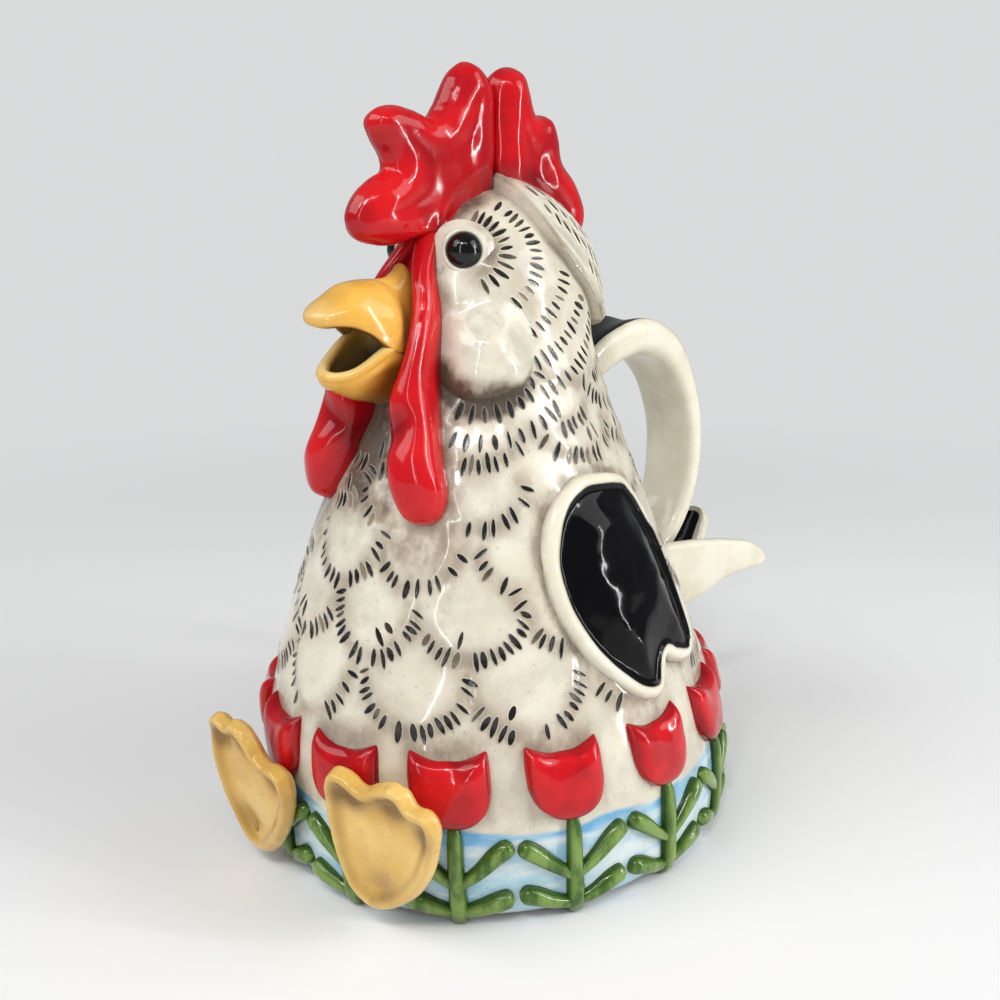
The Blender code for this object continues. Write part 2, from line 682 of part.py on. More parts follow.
FEATHER = [(-1.0, 0.0), (-0.8, 0.9), (0.0, 0.5), (0.8, 0.9), (1.0, 0.0), (0.8, -0.8), (0.0, -1.0),
           (-0.8, -0.8)]
sweep("centre_tail_feather", [Vector(r[0]) for r in CENTRE_FEATHER],
      [Vector((1.0, 0.0, 0.0)) for _ in CENTRE_FEATHER],
      [r[1] for r in CENTRE_FEATHER], [r[2] for r in CENTRE_FEATHER], FEATHER, WHITE)
for side_name, sign in (("left", 1.0), ("right", -1.0)):
    line = [Vector((r[0][0] * sign, r[0][1], r[0][2])) for r in SIDE_FEATHER]
    sweep(side_name + "_tail_feather", line, [Vector((0.0, 0.0, sign)) for _ in SIDE_FEATHER],
          [r[1] for r in SIDE_FEATHER], [r[2] for r in SIDE_FEATHER], FEATHER, WHITE)

# Tulips, stems and leaves by rule round the base.
for k in range(TULIP_COUNT):
    middle = 360.0 / TULIP_COUNT * (k + 0.5)
    signed = middle if middle < 180.0 else middle - 360.0
    number = "%02d" % (k + 1)
    front = []
    back = []
    widths = [0.60, 0.96, 1.0, 0.94]
    for i in range(4):
        t = (0.0, 0.3, 0.68, 1.0)[i]
        front_row = []
        back_row = []
        for j in range(5):
            s = -1.0 + 0.5 * j
            top = TULIP_HIGH - 5.4 * (1.0 - s * s)
            low = TULIP_LOW + 1.6 * s * s
            z = low + (top - low) * t
            a, b, _ = section(z)
            reach = math.hypot(a * math.cos(math.radians(signed)), b * math.sin(math.radians(signed)))
            angle = math.radians(signed) + s * widths[i] * TULIP_HALF / reach
            swell = (1.0 - 0.72 * s ** 4) * (0.55 + 0.45 * math.sin(math.pi * (0.12 + 0.76 * t)))
            front_row.append(skin(angle, z, GAP + TULIP_THICK * swell))
            back_row.append(skin(angle, z, GAP))
        front.append(front_row)
        back.append(back_row)
    grid_solid("tulip_head_" + number, front, back, RED)

    stem_path = [(signed, 1.6, STEM_HALF, 2.6), (signed, 9.0, STEM_HALF, 3.0),
                 (signed, TULIP_LOW - 0.6, STEM_HALF, 2.8)]
    stem = add_solid("tulip_stem_" + number, skin_ribbon(stem_path, SMALL_ROUND),
                     ring_faces(3, len(SMALL_ROUND)), GREEN)
    for side in (1.0, -1.0):
        behind_foot = abs(signed) < 20.0 and side * signed > 0.0
        if behind_foot:
            continue
        for level, (start, end) in enumerate(((14.0, 27.0), (4.2, 9.5))):
            leaf_path = [(signed, start, LEAF_HALF * 0.9, 2.2),
                         (signed + side * 8.6, start + 0.70 * (end - start), LEAF_HALF, 2.7),
                         (signed + side * 12.0, end, LEAF_HALF * 0.45, 1.4)]
            leaf_name = "leaf_%s_%d_%d" % (number, level, int(side))
            leaf = add_solid(leaf_name, skin_ribbon(leaf_path, SMALL_ROUND),
                             ring_faces(3, len(SMALL_ROUND)))
            boolean(stem, leaf, "UNION")
    boolean(stem, skin_cutter, "DIFFERENCE")
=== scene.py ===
import math
import random

import bpy
import numpy as np
from mathutils import Matrix, Vector, noise


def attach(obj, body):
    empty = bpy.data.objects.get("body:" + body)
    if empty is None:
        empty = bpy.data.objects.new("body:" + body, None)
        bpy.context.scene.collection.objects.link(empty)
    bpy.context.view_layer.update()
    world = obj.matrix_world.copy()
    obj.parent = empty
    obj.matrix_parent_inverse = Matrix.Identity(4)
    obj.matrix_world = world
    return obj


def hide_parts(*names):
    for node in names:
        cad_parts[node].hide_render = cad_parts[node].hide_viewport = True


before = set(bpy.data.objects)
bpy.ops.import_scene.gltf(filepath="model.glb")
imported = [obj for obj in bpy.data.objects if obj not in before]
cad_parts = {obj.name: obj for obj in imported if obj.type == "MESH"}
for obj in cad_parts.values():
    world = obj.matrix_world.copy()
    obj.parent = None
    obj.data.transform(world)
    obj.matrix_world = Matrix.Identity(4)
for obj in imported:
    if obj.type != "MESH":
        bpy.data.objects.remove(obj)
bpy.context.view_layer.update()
mm = 0.001
fullTurn = 2.0 * math.pi
sides = (("Left", 1.0), ("Right", -1.0))
random.seed(7)


# number helpers, all lengths in mm
def clamp(x):
    return np.clip(x, 0.0, 1.0)


def curve(rows, t):
    # smooth line through rows of numbers, t from 0 to 1
    rows = np.asarray(rows, float)
    last = len(rows) - 1
    x = clamp(np.asarray(t, float)) * last
    i = np.clip(x.astype(int), 0, last - 1)
    f = (x - i)[..., None]
    p0, p1, p2, p3 = rows[np.maximum(i - 1, 0)], rows[i], rows[i + 1], rows[np.minimum(i + 2, last)]
    return 0.5 * (2 * p1 + (p2 - p0) * f + (2 * p0 - 5 * p1 + 4 * p2 - p3) * f ** 2
                  + (3 * p1 - p0 - 3 * p2 + p3) * f ** 3)


def closedCurve(points, steps):
    points = [points[-1]] + list(points) + [points[0], points[1]]
    t = np.arange((len(points) - 3) * steps) / steps + 1.0
    return curve(points, t / (len(points) - 1))


def ease(low, high, x):
    t = clamp((np.asarray(x, float) - low) / (high - low))
    return t * t * (3.0 - 2.0 * t)


def quarterRound(x):
    # rolled edge: 0 at x = 0, level from x = 1 on
    return np.sqrt(clamp(1.0 - (1.0 - clamp(x)) ** 2))


def roundedEnd(x, least=0.0):
    # level up to x = 0, rounded off at x = 1
    return np.sqrt(np.clip(1.0 - clamp(x) ** 2, least, 1.0))


def foldAngle(angle):
    # angle from the breast, the same on both sides
    return np.abs((angle + math.pi) % fullTurn - math.pi)


def unit(v):
    return v / np.maximum(np.linalg.norm(v, axis=-1, keepdims=True), 1e-9)


def runAlong(track):
    # distance run along a line of points
    return np.concatenate([[0.0], np.cumsum(np.linalg.norm(np.diff(track, axis=0), axis=1))])


def lumps(spots, size, shift=0.0):
    # soft clay unevenness, about -1 to 1
    step = Vector((shift, 3.1 * shift, 1.7 * shift))
    return np.array([noise.noise(Vector(p) / size + step) for p in np.asarray(spots).reshape(-1, 3)])


def edgeDistance(outline, spots):
    # distance from each spot to a closed outline, and the nearest point on it
    best = np.full(len(spots), 1e9)
    near = np.zeros((len(spots), 2))
    for a, b in zip(outline, np.roll(outline, -1, axis=0)):
        way = b - a
        t = clamp(((spots - a) @ way) / max(way @ way, 1e-12))
        foot = a + t[:, None] * way
        far = np.linalg.norm(spots - foot, axis=1)
        closer = far < best
        best[closer] = far[closer]
        near[closer] = foot[closer]
    return best, near


def insideOutline(outline, spots):
    inside = np.zeros(len(spots), bool)
    for a, b in zip(outline, np.roll(outline, -1, axis=0)):
        crosses = (a[1] > spots[:, 1]) != (b[1] > spots[:, 1])
        rise = b[1] - a[1] if abs(b[1] - a[1]) > 1e-9 else 1e-9
        inside ^= crosses & (spots[:, 0] < (b[0] - a[0]) * (spots[:, 1] - a[1]) / rise + a[0])
    return inside


# the oval skin of the pot: angle 0 is the breast, +90 degrees the bird's left
bodyForm = {
    "stations": [(0, 71.5, 80.5, -1), (3, 74.4, 83.4, -1.3), (9, 75.6, 84.6, -1.7), (30, 75.5, 84.5, -2.5),
                 (52, 72.5, 81, -6), (80, 63.5, 71, -8), (108, 54, 60.5, -9), (135, 44, 49, -9),
                 (158, 35.5, 39.5, -8), (178, 31, 36, -7), (188, 29.5, 35.5, -6.5), (198, 25.5, 32.5, -6),
                 (206, 19.5, 26.5, -5.5), (212, 13, 19, -5), (216, 6.5, 10, -5)],
    "top": 217.6,
    "cap": 1.6,
    "wall": 4.6,
    "floor": 6.5,
    "corner": 1.5,
    "around": 356,
    "seamPlaces": 721,
    "seam": [(-7.2, 214), (-4, 201), (4, 191), (14, 182), (23, 175), (60, 160)],
}
lidWay = np.array([0.0, 0.766, 0.643])
stationRows = np.array(bodyForm["stations"], float)
tableZ = np.linspace(0.0, 216.0, 2161)
tableForm = np.zeros((len(tableZ), 3))
for i in range(len(stationRows) - 1):
    low, high = stationRows[i], stationRows[i + 1]
    before, after = stationRows[max(i - 1, 0)], stationRows[min(i + 2, len(stationRows) - 1)]
    pick = (tableZ >= low[0] - 1e-9) & (tableZ <= high[0] + 1e-9)
    span = high[0] - low[0]
    t = ((tableZ[pick] - low[0]) / span)[:, None]
    slopeLow = (high[1:] - before[1:]) / (high[0] - before[0]) * span
    slopeHigh = (after[1:] - low[1:]) / (after[0] - low[0]) * span
    tableForm[pick] = ((2 * t ** 3 - 3 * t ** 2 + 1) * low[1:] + (t ** 3 - 2 * t ** 2 + t) * slopeLow
                       + (3 * t ** 2 - 2 * t ** 3) * high[1:] + (t ** 3 - t ** 2) * slopeHigh)


def bodySection(z):
    share = np.sqrt(clamp((bodyForm["top"] - z) / bodyForm["cap"]))
    return [np.interp(z, tableZ, tableForm[:, k]) * (share if k < 2 else 1.0) for k in range(3)]


def skinPoint(angle, z):
    a, b, centre = bodySection(z)
    return np.stack([a * np.sin(angle), centre - b * np.cos(angle), z + 0.0 * angle], -1)


def skin(angle, z, lift=0.0):
    angle, z, lift = np.broadcast_arrays(np.asarray(angle, float), np.asarray(z, float), np.asarray(lift, float))
    across = skinPoint(angle + 0.01, z) - skinPoint(angle - 0.01, z)
    up = skinPoint(angle, np.minimum(z + 0.4, bodyForm["top"])) - skinPoint(angle, np.maximum(z - 0.4, 0.0))
    out = np.cross(across, up) + np.array([0.0, 0.0, 1e-6])
    return skinPoint(angle, z) + unit(out) * lift[..., None]


def reach(angle, z):
    # mm of arc per radian round the pot
    a, b, _ = bodySection(z)
    return np.hypot(a * np.cos(angle), b * np.sin(angle))


def inLid(spots):
    line = np.array(bodyForm["seam"], float)
    return (spots[..., 1] > line[0, 0]) & (spots[..., 2] > np.interp(spots[..., 1], line[:, 0], line[:, 1]))


def seamHeight(angle, lift=0.0, shift=0.0):
    # height at which a meridian meets the seam, the seam moved along the lid's way off
    angle = np.asarray(angle, float)
    low, high = np.full(angle.shape, 150.0), np.full(angle.shape, bodyForm["top"] - 0.002)
    way = lidWay * shift
    for _ in range(26):
        middle = 0.5 * (low + high)
        hit = inLid(skin(angle, middle, lift) - way)
        high = np.where(hit, middle, high)
        low = np.where(hit, low, middle)
    return 0.5 * (low + high)


def seamAround(u, count, lift=0.0, shift=0.0):
    # the same at shares u of the way round, read from a table of count places
    share = np.linspace(0, 1, count)
    return np.interp(u, share, seamHeight(fullTurn * share, lift, shift))


# running length up the side of the pot, so that rows of a grid are evenly spaced
lengthZ = np.concatenate([np.linspace(0.0, 216.0, 1081),
                          bodyForm["top"] - bodyForm["cap"] * np.linspace(0.999, 0.0, 60) ** 2])
lengthRun = np.concatenate([[0.0], np.cumsum(np.hypot(np.diff(lengthZ), np.diff(bodySection(lengthZ)[0])))])


def zAtRun(run):
    return np.interp(run, lengthRun, lengthZ)


def runAtZ(z):
    return np.interp(z, lengthZ, lengthRun)


def skinOffset(angle, z, east, north):
    # the spot on the skin a few mm round and up from another
    return angle + east / np.maximum(reach(angle, z), 4.0), zAtRun(runAtZ(z) + north)


# object helpers
def only(piece):
    bpy.ops.object.select_all(action="DESELECT")
    piece.select_set(True)
    bpy.context.view_layer.objects.active = piece


def corners(piece):
    spots = np.empty(3 * len(piece.data.vertices))
    piece.data.vertices.foreach_get("co", spots)
    return spots.reshape(-1, 3)


def moveCorners(piece, spots):
    piece.data.vertices.foreach_set("co", np.ascontiguousarray(spots, float).ravel())
    piece.data.update()


def paint(piece, name, values):
    layer = piece.data.attributes.get(name) or piece.data.attributes.new(name, "FLOAT", "POINT")
    layer.data.foreach_set("value", np.ascontiguousarray(np.broadcast_to(values, len(piece.data.vertices)), float))


def addGrid(name, across, along):
    bpy.ops.object.select_all(action="DESELECT")
    bpy.ops.mesh.primitive_grid_add(x_subdivisions=across, y_subdivisions=along, size=2)
    piece = bpy.context.object
    piece.name = name
    return piece, (corners(piece)[:, :2] + 1.0) / 2.0


def addSheet(name, across, along, place):
    # a grid bent to place(u, v), u and v from 0 to 1, which gives the spots and the painted layers
    piece, share = addGrid(name, across, along)
    spots, layers = place(share[:, 0], share[:, 1])
    moveCorners(piece, spots * mm)
    for key, values in layers.items():
        paint(piece, key, values)
    return piece


def weld(piece, gap=2e-5, fill=False):
    only(piece)
    bpy.ops.object.mode_set(mode="EDIT")
    bpy.ops.mesh.select_mode(type="VERT")
    bpy.ops.mesh.select_all(action="SELECT")
    bpy.ops.mesh.remove_doubles(threshold=gap)
    if fill:
        bpy.ops.mesh.select_all(action="DESELECT")
        bpy.ops.mesh.select_non_manifold(extend=False)
        bpy.ops.mesh.edge_face_add()
        bpy.ops.mesh.select_all(action="SELECT")
    bpy.ops.mesh.normals_make_consistent(inside=False)
    bpy.ops.object.mode_set(mode="OBJECT")


def modify(piece, kind, **settings):
    only(piece)
    bpy.ops.object.modifier_add(type=kind)
    modifier = piece.modifiers[-1]
    for key, value in settings.items():
        setattr(modifier, key, value)
    bpy.ops.object.modifier_apply(modifier=modifier.name)


def join(name, pieces):
    bpy.ops.object.select_all(action="DESELECT")
    for piece in pieces:
        piece.select_set(True)
    bpy.context.view_layer.objects.active = pieces[0]
    if len(pieces) > 1:
        bpy.ops.object.join()
    pieces[0].name = name
    return pieces[0]


def hand(piece, material, slot, body, *nodes):
    # the finished piece gets its glaze and takes the place of its CAD nodes
    only(piece)
    bpy.ops.object.shade_smooth()
    piece.data.materials.clear()
    piece.data.materials.append(material)
    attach(piece, body)
    if nodes:
        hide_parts(*nodes)
    print("piece", piece.name, len(piece.data.polygons))


def addPlate(name, outline, front, back, place, voxel=0.55, smooth=5):
    # a grid trimmed to an outline, doubled into two faces that meet at the edge; front and back give depths
    pitch = 0.9
    low, high = outline.min(0) - pitch, outline.max(0) + pitch
    piece, share = addGrid(name, *np.ceil((high - low) / pitch).astype(int).tolist())
    flat = low + share * (high - low)
    moveCorners(piece, np.pad(flat, ((0, 0), (0, 1))))
    drop = ~(insideOutline(outline, flat) | (edgeDistance(outline, flat)[0] < 0.4 * pitch))
    bpy.ops.object.mode_set(mode="EDIT")
    bpy.ops.mesh.select_mode(type="VERT")
    bpy.ops.mesh.select_all(action="DESELECT")
    bpy.ops.object.mode_set(mode="OBJECT")
    piece.data.vertices.foreach_set("select", drop)
    bpy.ops.object.mode_set(mode="EDIT")
    bpy.ops.mesh.delete(type="VERT")
    bpy.ops.mesh.select_all(action="SELECT")
    bpy.ops.mesh.delete_loose(use_verts=True, use_edges=True, use_faces=False)
    bpy.ops.mesh.select_all(action="DESELECT")
    bpy.ops.mesh.select_non_manifold(extend=False)
    bpy.ops.object.mode_set(mode="OBJECT")
    rim = np.zeros(len(piece.data.vertices), bool)
    piece.data.vertices.foreach_get("select", rim)
    flat = corners(piece)
    away, near = edgeDistance(outline, flat[:, :2])
    flat[rim, :2] = near[rim]
    away[rim] = 0.0
    moveCorners(piece, flat)
    bpy.ops.object.mode_set(mode="EDIT")
    bpy.ops.mesh.select_all(action="SELECT")
    bpy.ops.mesh.duplicate()
    bpy.ops.mesh.flip_normals()
    bpy.ops.object.mode_set(mode="OBJECT")
    u, v = flat[:, 0], flat[:, 1]
    faceFront = np.stack([u, v, np.where(rim, 0.0, front(away, u, v))], -1)
    faceBack = np.stack([u, v, np.where(rim, 0.0, back(away, u, v))], -1)
    moveCorners(piece, np.concatenate([faceFront, faceBack]))
    weld(piece, 1e-4 * pitch)
    modify(piece, "REMESH", mode="VOXEL", voxel_size=voxel, adaptivity=0.0)
    modify(piece, "SMOOTH", factor=0.5, iterations=smooth)
    local = corners(piece)
    moveCorners(piece, place(local[:, 0], local[:, 1], local[:, 2]) * mm)
    weld(piece)
    return piece, local


print("stage helpers")


# shader maths: a socket that can be added, multiplied and fed to any other node
class Wire:
    def __init__(self, tree, socket=None):
        self.tree = tree
        self.socket = socket

    def node(self, kind, settings=None, values=None, out=0):
        made = self.tree.nodes.new(kind)
        for key, value in (settings or {}).items():
            setattr(made, key, value)
        for key, value in (values or {}).items():
            target = made.inputs[key]
            if isinstance(value, Wire):
                self.tree.links.new(value.socket, target)
            else:
                target.default_value = (*value, 1.0) if target.type == "RGBA" else value
        return Wire(self.tree, made.outputs[out] if made.outputs else None)

    def math(self, operation, *others):
        values = {0: self}
        for i, other in enumerate(others):
            values[i + 1] = other
        return self.node("ShaderNodeMath", {"operation": operation}, values)

    def __add__(self, other):
        return self.math("ADD", other)

    __radd__ = __add__

    def __sub__(self, other):
        return self.math("SUBTRACT", other)

    def __rsub__(self, other):
        return (self * -1.0) + other

    def __mul__(self, other):
        return self.math("MULTIPLY", other)

    __rmul__ = __mul__

    def step(self, low, high):
        return self.node("ShaderNodeMapRange", {"interpolation_type": "SMOOTHSTEP"},
                         {"Value": self, "From Min": low, "From Max": high})

    def mix(self, first, second):
        # this wire is the factor between two colours, which the node keeps from 0 to 1
        return self.node("ShaderNodeMix", {"data_type": "RGBA"}, {0: self, 6: first, 7: second}, 2)


def startMaterial(name):
    material = bpy.data.materials.new(name)
    material.use_nodes = True
    material.node_tree.nodes.clear()
    return material, Wire(material.node_tree).node("ShaderNodeTexCoord", None, None, 3)


def grain(place, scale, detail=3.0, rough=0.55, stretch=None):
    # noise in object metres, optionally drawn out along one axis like a brush stroke
    if stretch:
        place = place.node("ShaderNodeMapping", None, {"Vector": place, "Scale": stretch})
    return place.node("ShaderNodeTexNoise", None,
                      {"Vector": place, "Scale": scale, "Detail": detail, "Roughness": rough})


def layer(place, name):
    return place.node("ShaderNodeAttribute", {"attribute_name": name}, None, 2)


def makeGlaze(name, tintOf, roughness, ripple, level, *settings):
    # shared glaze surface: slow ripples and fine orange peel under a clear coat
    material, place = startMaterial(name)
    tint, coat = tintOf(place, *settings)
    height = grain(place, 95.0, 2.0) * ripple + grain(place, 520.0, 2.0) * (0.10 * ripple)
    normal = place.node("ShaderNodeBump", None, {"Strength": 0.30, "Distance": 0.0012, "Height": height})
    rough = grain(place, 60.0, 2.0).step(0.3, 0.7) * 0.07 + roughness
    shader = place.node("ShaderNodeBsdfPrincipled", None,
                        {"Base Color": tint, "Roughness": rough, "Coat Weight": coat, "Coat Roughness": 0.04,
                         "Specular IOR Level": level, "Normal": normal, "IOR": 1.5})
    place.node("ShaderNodeOutputMaterial", None, {"Surface": shader})
    return material


# each tint function gives the colour and the weight of the clear coat
def creamTint(place, banded):
    # warm cream darkened by grey-brown glaze wash round the strokes and by painted shade under and between the
    # sprigs, and the sky band round the foot of the pot
    washAndShade = layer(place, "washAndShade")
    cloud = grain(place, 38.0, 4.0)
    brush = grain(place, 110.0, 5.0, 0.65, (1.0, 1.0, 0.62))
    blotch = grain(place, 30.0, 5.0, 0.62)
    smoke = grain(place, 72.0, 5.0, 0.60)
    tint = cloud.step(0.34, 0.70).mix((0.665, 0.62, 0.495), (0.745, 0.72, 0.605))
    tint = (smoke.step(0.44, 0.68) * 0.70).mix(tint, (0.535, 0.505, 0.42))
    tint = (brush.step(0.48, 0.78) * 0.35).mix(tint, (0.59, 0.51, 0.38))
    tint = (blotch.step(0.48, 0.70) * 0.58).mix(tint, (0.45, 0.38, 0.295))
    # glaze wash and painted shade from the layer darken the cream, the heaviest to near black
    pooledAndShaded = washAndShade * (brush.step(0.22, 0.72) * 0.75 + blotch.step(0.35, 0.65) * 0.35 + 0.25)
    tint = (pooledAndShaded.step(0.03, 0.55) * 0.80).mix(tint, (0.38, 0.305, 0.225))
    tint = (pooledAndShaded.step(0.30, 1.0) * 0.95).mix(tint, (0.085, 0.063, 0.046))
    blood = cloud.step(0.3, 0.7).mix((0.40, 0.006, 0.010), (0.56, 0.013, 0.016))
    tint = layer(place, "blush").mix(tint, blood)
    if banded:
        height = place.node("ShaderNodeSeparateXYZ", None, {0: place}, 2)
        wave = grain(place, 22.0, 2.0, 0.5, (1.0, 1.0, 0.15)) * 0.016 - 0.008
        sky = 1.0 - (height + wave).step(0.0315, 0.0335)
        streak = grain(place, 34.0, 4.0, 0.6, (1.0, 1.0, 4.2))
        water = streak.step(0.36, 0.60).mix((0.67, 0.75, 0.755), (0.40, 0.63, 0.73))
        blue = layer(place, "blue") * (streak.step(0.36, 0.60) * 0.9 + 0.2)
        water = blue.mix(water, brush.mix((0.075, 0.30, 0.56), (0.17, 0.43, 0.66)))
        # glaze wash and painted shade darken the band round the stems too
        water = (washAndShade * 0.55).mix(water, (0.06, 0.10, 0.14))
        tint = sky.mix(tint, water)
        # painted shadow: a dark line round the very bottom where the pot stands
        foot = 1.0 - height.step(0.0006, 0.0022)
        tint = foot.mix(tint, (0.030, 0.027, 0.025))
        bare = 1.0 - height.step(0.00015, 0.0005)
        tint = bare.mix(tint, cloud.mix((0.52, 0.44, 0.34), (0.62, 0.55, 0.45)))
    speck = 1.0 - grain(place, 900.0, 0.0).step(0.17, 0.23)
    tint = (speck * 0.35).mix(tint, (0.25, 0.20, 0.15))
    return tint, 0.35


def inkTint(place):
    # incised strokes: black in the cut, cream on the pushed-up lip
    ink = layer(place, "ink").step(0.30, 0.62)
    worn = grain(place, 260.0, 3.0)
    thin = (layer(place, "thin") + worn * 0.5 - 0.25).step(0.35, 1.0)
    dark = worn.step(0.45, 0.85).mix((0.008, 0.007, 0.006), (0.060, 0.047, 0.037))
    lip = worn.mix((0.64, 0.58, 0.46), (0.70, 0.66, 0.54))
    # the lips take the skin's glaze wash and painted shade round them
    lip = (layer(place, "washAndShade") * 0.9).math("MINIMUM", 0.9).mix(lip, (0.16, 0.125, 0.095))
    tint = ink.mix(lip, thin.mix(dark, (0.24, 0.185, 0.130)))
    return tint, 0.25


def redTint(place):
    deep = layer(place, "deep")
    brush = grain(place, 120.0, 4.0, 0.6, (1.0, 1.0, 0.3))
    cloud = grain(place, 45.0, 3.0)
    tint = cloud.step(0.3, 0.7).mix((0.45, 0.004, 0.009), (0.60, 0.009, 0.013))
    tint = (brush.step(0.50, 0.80) * 0.5).mix(tint, (0.29, 0.003, 0.008))
    tint = (brush.step(0.20, 0.42) * -0.4 + 0.4).mix(tint, (0.70, 0.018, 0.016))
    # the deep layer darkens the red: glaze pooled in the hollows, and painted shade in folds, at joins to the body
    # and round edges
    tint = (deep * (cloud * 0.7 + 0.55)).mix(tint, (0.15, 0.002, 0.006))
    return tint, 0.15


def footTint(place):
    # gold, darker in the toe and heel dents and round the dish, partly glaze pooled there and partly painted shade
    dark = (0.20, 0.10, 0.022)
    deep = layer(place, "deep")
    cloud = grain(place, 55.0, 4.0)
    brush = grain(place, 150.0, 4.0, 0.6, (1.0, 0.35, 1.0))
    tint = cloud.step(0.35, 0.68).mix((0.66, 0.395, 0.090), (0.78, 0.525, 0.165))
    tint = (brush.step(0.55, 0.85) * 0.45).mix(tint, dark)
    tint = (deep * (cloud * 0.8 + 0.5)).mix(tint, dark)
    return tint, 0.3


def beakTint(place):
    # gold outside, thin and pale on the rim; painted shade brown inside, darker towards the pouring hole, with a
    # painted black shadow over the hole
    cloud = grain(place, 55.0, 4.0)
    brush = grain(place, 150.0, 4.0, 0.6, (1.0, 0.35, 1.0))
    tint = cloud.step(0.35, 0.68).mix((0.67, 0.34, 0.042), (0.77, 0.435, 0.080))
    tint = (brush.step(0.55, 0.85) * 0.45).mix(tint, (0.42, 0.18, 0.022))
    # painted shade under the lower rim, along the upper rim's edge and towards the face
    deep = layer(place, "deep") * (cloud * 0.5 + 0.75)
    tint = deep.step(0.0, 0.75).mix(tint, (0.34, 0.14, 0.017))
    tint = deep.step(0.65, 1.1).mix(tint, (0.085, 0.030, 0.005))
    pale = cloud.mix((0.76, 0.55, 0.20), (0.84, 0.68, 0.34))
    tint = (layer(place, "thin") * (0.45 + 0.7 * brush)).mix(tint, pale)
    # painted shade inside the spout, and a painted shadow over the pouring hole
    inside = layer(place, "inside") + (brush * 0.2 - 0.1)
    tint = inside.step(0.05, 0.45).mix(tint, brush.mix((0.30, 0.19, 0.05), (0.50, 0.34, 0.11)))
    tint = inside.step(0.35, 0.95).mix(tint, cloud.mix((0.050, 0.036, 0.020), (0.11, 0.082, 0.048)))
    tint = layer(place, "holeShadow").mix(tint, (0.010, 0.008, 0.006))
    return tint, 0.25


def greenTint(place):
    deep = layer(place, "deep")
    brush = grain(place, 170.0, 3.0, 0.6, (1.0, 1.0, 0.4))
    tint = brush.step(0.3, 0.7).mix((0.038, 0.100, 0.011), (0.110, 0.205, 0.032))
    # painted highlight along the top of each stalk
    tint = (layer(place, "ridgeHighlight") * brush.step(0.35, 0.6) * 0.7).mix(tint, (0.22, 0.33, 0.075))
    # painted shade down the sides and near the floor
    tint = (deep * (brush * 0.6 + 0.6)).mix(tint, (0.012, 0.042, 0.007))
    return tint, 0.25


def pairTint(place, edgeLow, edgeHigh):
    # black panel inside a white rim; the layer "panel" runs across the edge of the black
    wander = grain(place, 130.0, 2.0) * 0.8 - 0.4
    black = (layer(place, "panel") + wander).step(edgeLow, edgeHigh)
    washAndShade = layer(place, "washAndShade")
    cloud = grain(place, 45.0, 4.0)
    brush = grain(place, 140.0, 4.0, 0.6, (1.0, 1.0, 0.3))
    white = cloud.step(0.34, 0.7).mix((0.70, 0.65, 0.51), (0.79, 0.76, 0.64))
    white = (brush.step(0.50, 0.8) * 0.3).mix(white, (0.60, 0.53, 0.40))
    # the white takes glaze wash and painted shade where it meets the body
    white = (washAndShade * (brush.step(0.25, 0.7) * 0.8 + 0.3)).mix(white, (0.14, 0.11, 0.085))
    dark = cloud.step(0.4, 0.8).mix((0.0025, 0.0025, 0.003), (0.006, 0.006, 0.007))
    return black.mix(white, dark), 0.35 - 0.35 * black


# roughness, ripple and specular level of each glaze
glaze = {
    "body": makeGlaze("creamBody", creamTint, 0.12, 0.75, 0.4, True),
    "cream": makeGlaze("creamLid", creamTint, 0.12, 0.75, 0.4, False),
    "ink": makeGlaze("inkStroke", inkTint, 0.20, 0.3, 0.35),
    "red": makeGlaze("redGlaze", redTint, 0.09, 0.7, 0.26),
    "beak": makeGlaze("goldGlaze", beakTint, 0.10, 0.7, 0.35),
    "foot": makeGlaze("ochreGlaze", footTint, 0.15, 0.7, 0.35),
    "green": makeGlaze("greenGlaze", greenTint, 0.12, 0.6, 0.3),
    "pair": makeGlaze("panelGlaze", pairTint, 0.07, 0.55, 0.15, 3.7, 4.3),
    "eye": makeGlaze("eyeGlaze", pairTint, 0.07, 0.55, 0.42, 0.4, 0.6),
}
print("stage glazes", len(glaze))


# where the sprigs sit, so that the strokes and the wash keep clear of them or gather round them
sprigs = {
    "eye": (math.radians(35.8), 198.8),
    "cheek": (math.radians(47.0), 168.5),
    # degrees round, height, half width and thickness
    "wattle": [(8.4, 207, 3.4, 2.6), (9.2, 201, 3.7, 3.4), (12.6, 193.5, 3.4, 5), (17.6, 184.5, 3.4, 8.2),
               (19.8, 172, 3.5, 12.4), (19.7, 161, 4.1, 15), (20.2, 150, 5.7, 15.6), (22.8, 139.5, 7.2, 13.6),
               (25.6, 131.5, 8.3, 12), (27.2, 125.5, 8.6, 10.5), (28, 119.6, 8.4, 9.4)],
    # height, front and rear edge in degrees
    "wingRows": [(131.6, 86.5, 95.5), (129.4, 77.5, 103.5), (124.6, 71, 109), (117, 66.8, 113), (107, 65.2, 115.6),
                 (93, 67.8, 117.2), (79, 74, 117.2), (68, 82, 115.5)],
    "wingTip": [(86.5, 63.2), (91, 61.2), (95, 62.6), (98.0, 68.5), (99.8, 70.6), (102.2, 68.6), (106.5, 66.2),
                (110.6, 65.4), (113.4, 67.2)],
    "wingMiddle": math.radians(92.0),
    "tulips": 14,
}
tulipStep = fullTurn / sprigs["tulips"]


def wingFlat(angle, z):
    # the wing's own flat coordinates: mm round the pot from its middle, and height
    return (angle - sprigs["wingMiddle"]) * reach(np.full(np.shape(z), sprigs["wingMiddle"]), z)


def tulipGap(angle, z):
    # mm round the pot to the nearest tulip's stem
    return np.abs((angle % tulipStep) - 0.5 * tulipStep) * reach(angle, z)


wingRing = [(math.radians(f), z) for z, f, r in sprigs["wingRows"]]
wingRing += [(math.radians(a), z) for a, z in sprigs["wingTip"]]
wingRing += [(math.radians(r), z) for z, f, r in sprigs["wingRows"][:0:-1]]
wingOutline = closedCurve([(float(wingFlat(np.array(a), np.array(z))), z) for a, z in wingRing], 8)

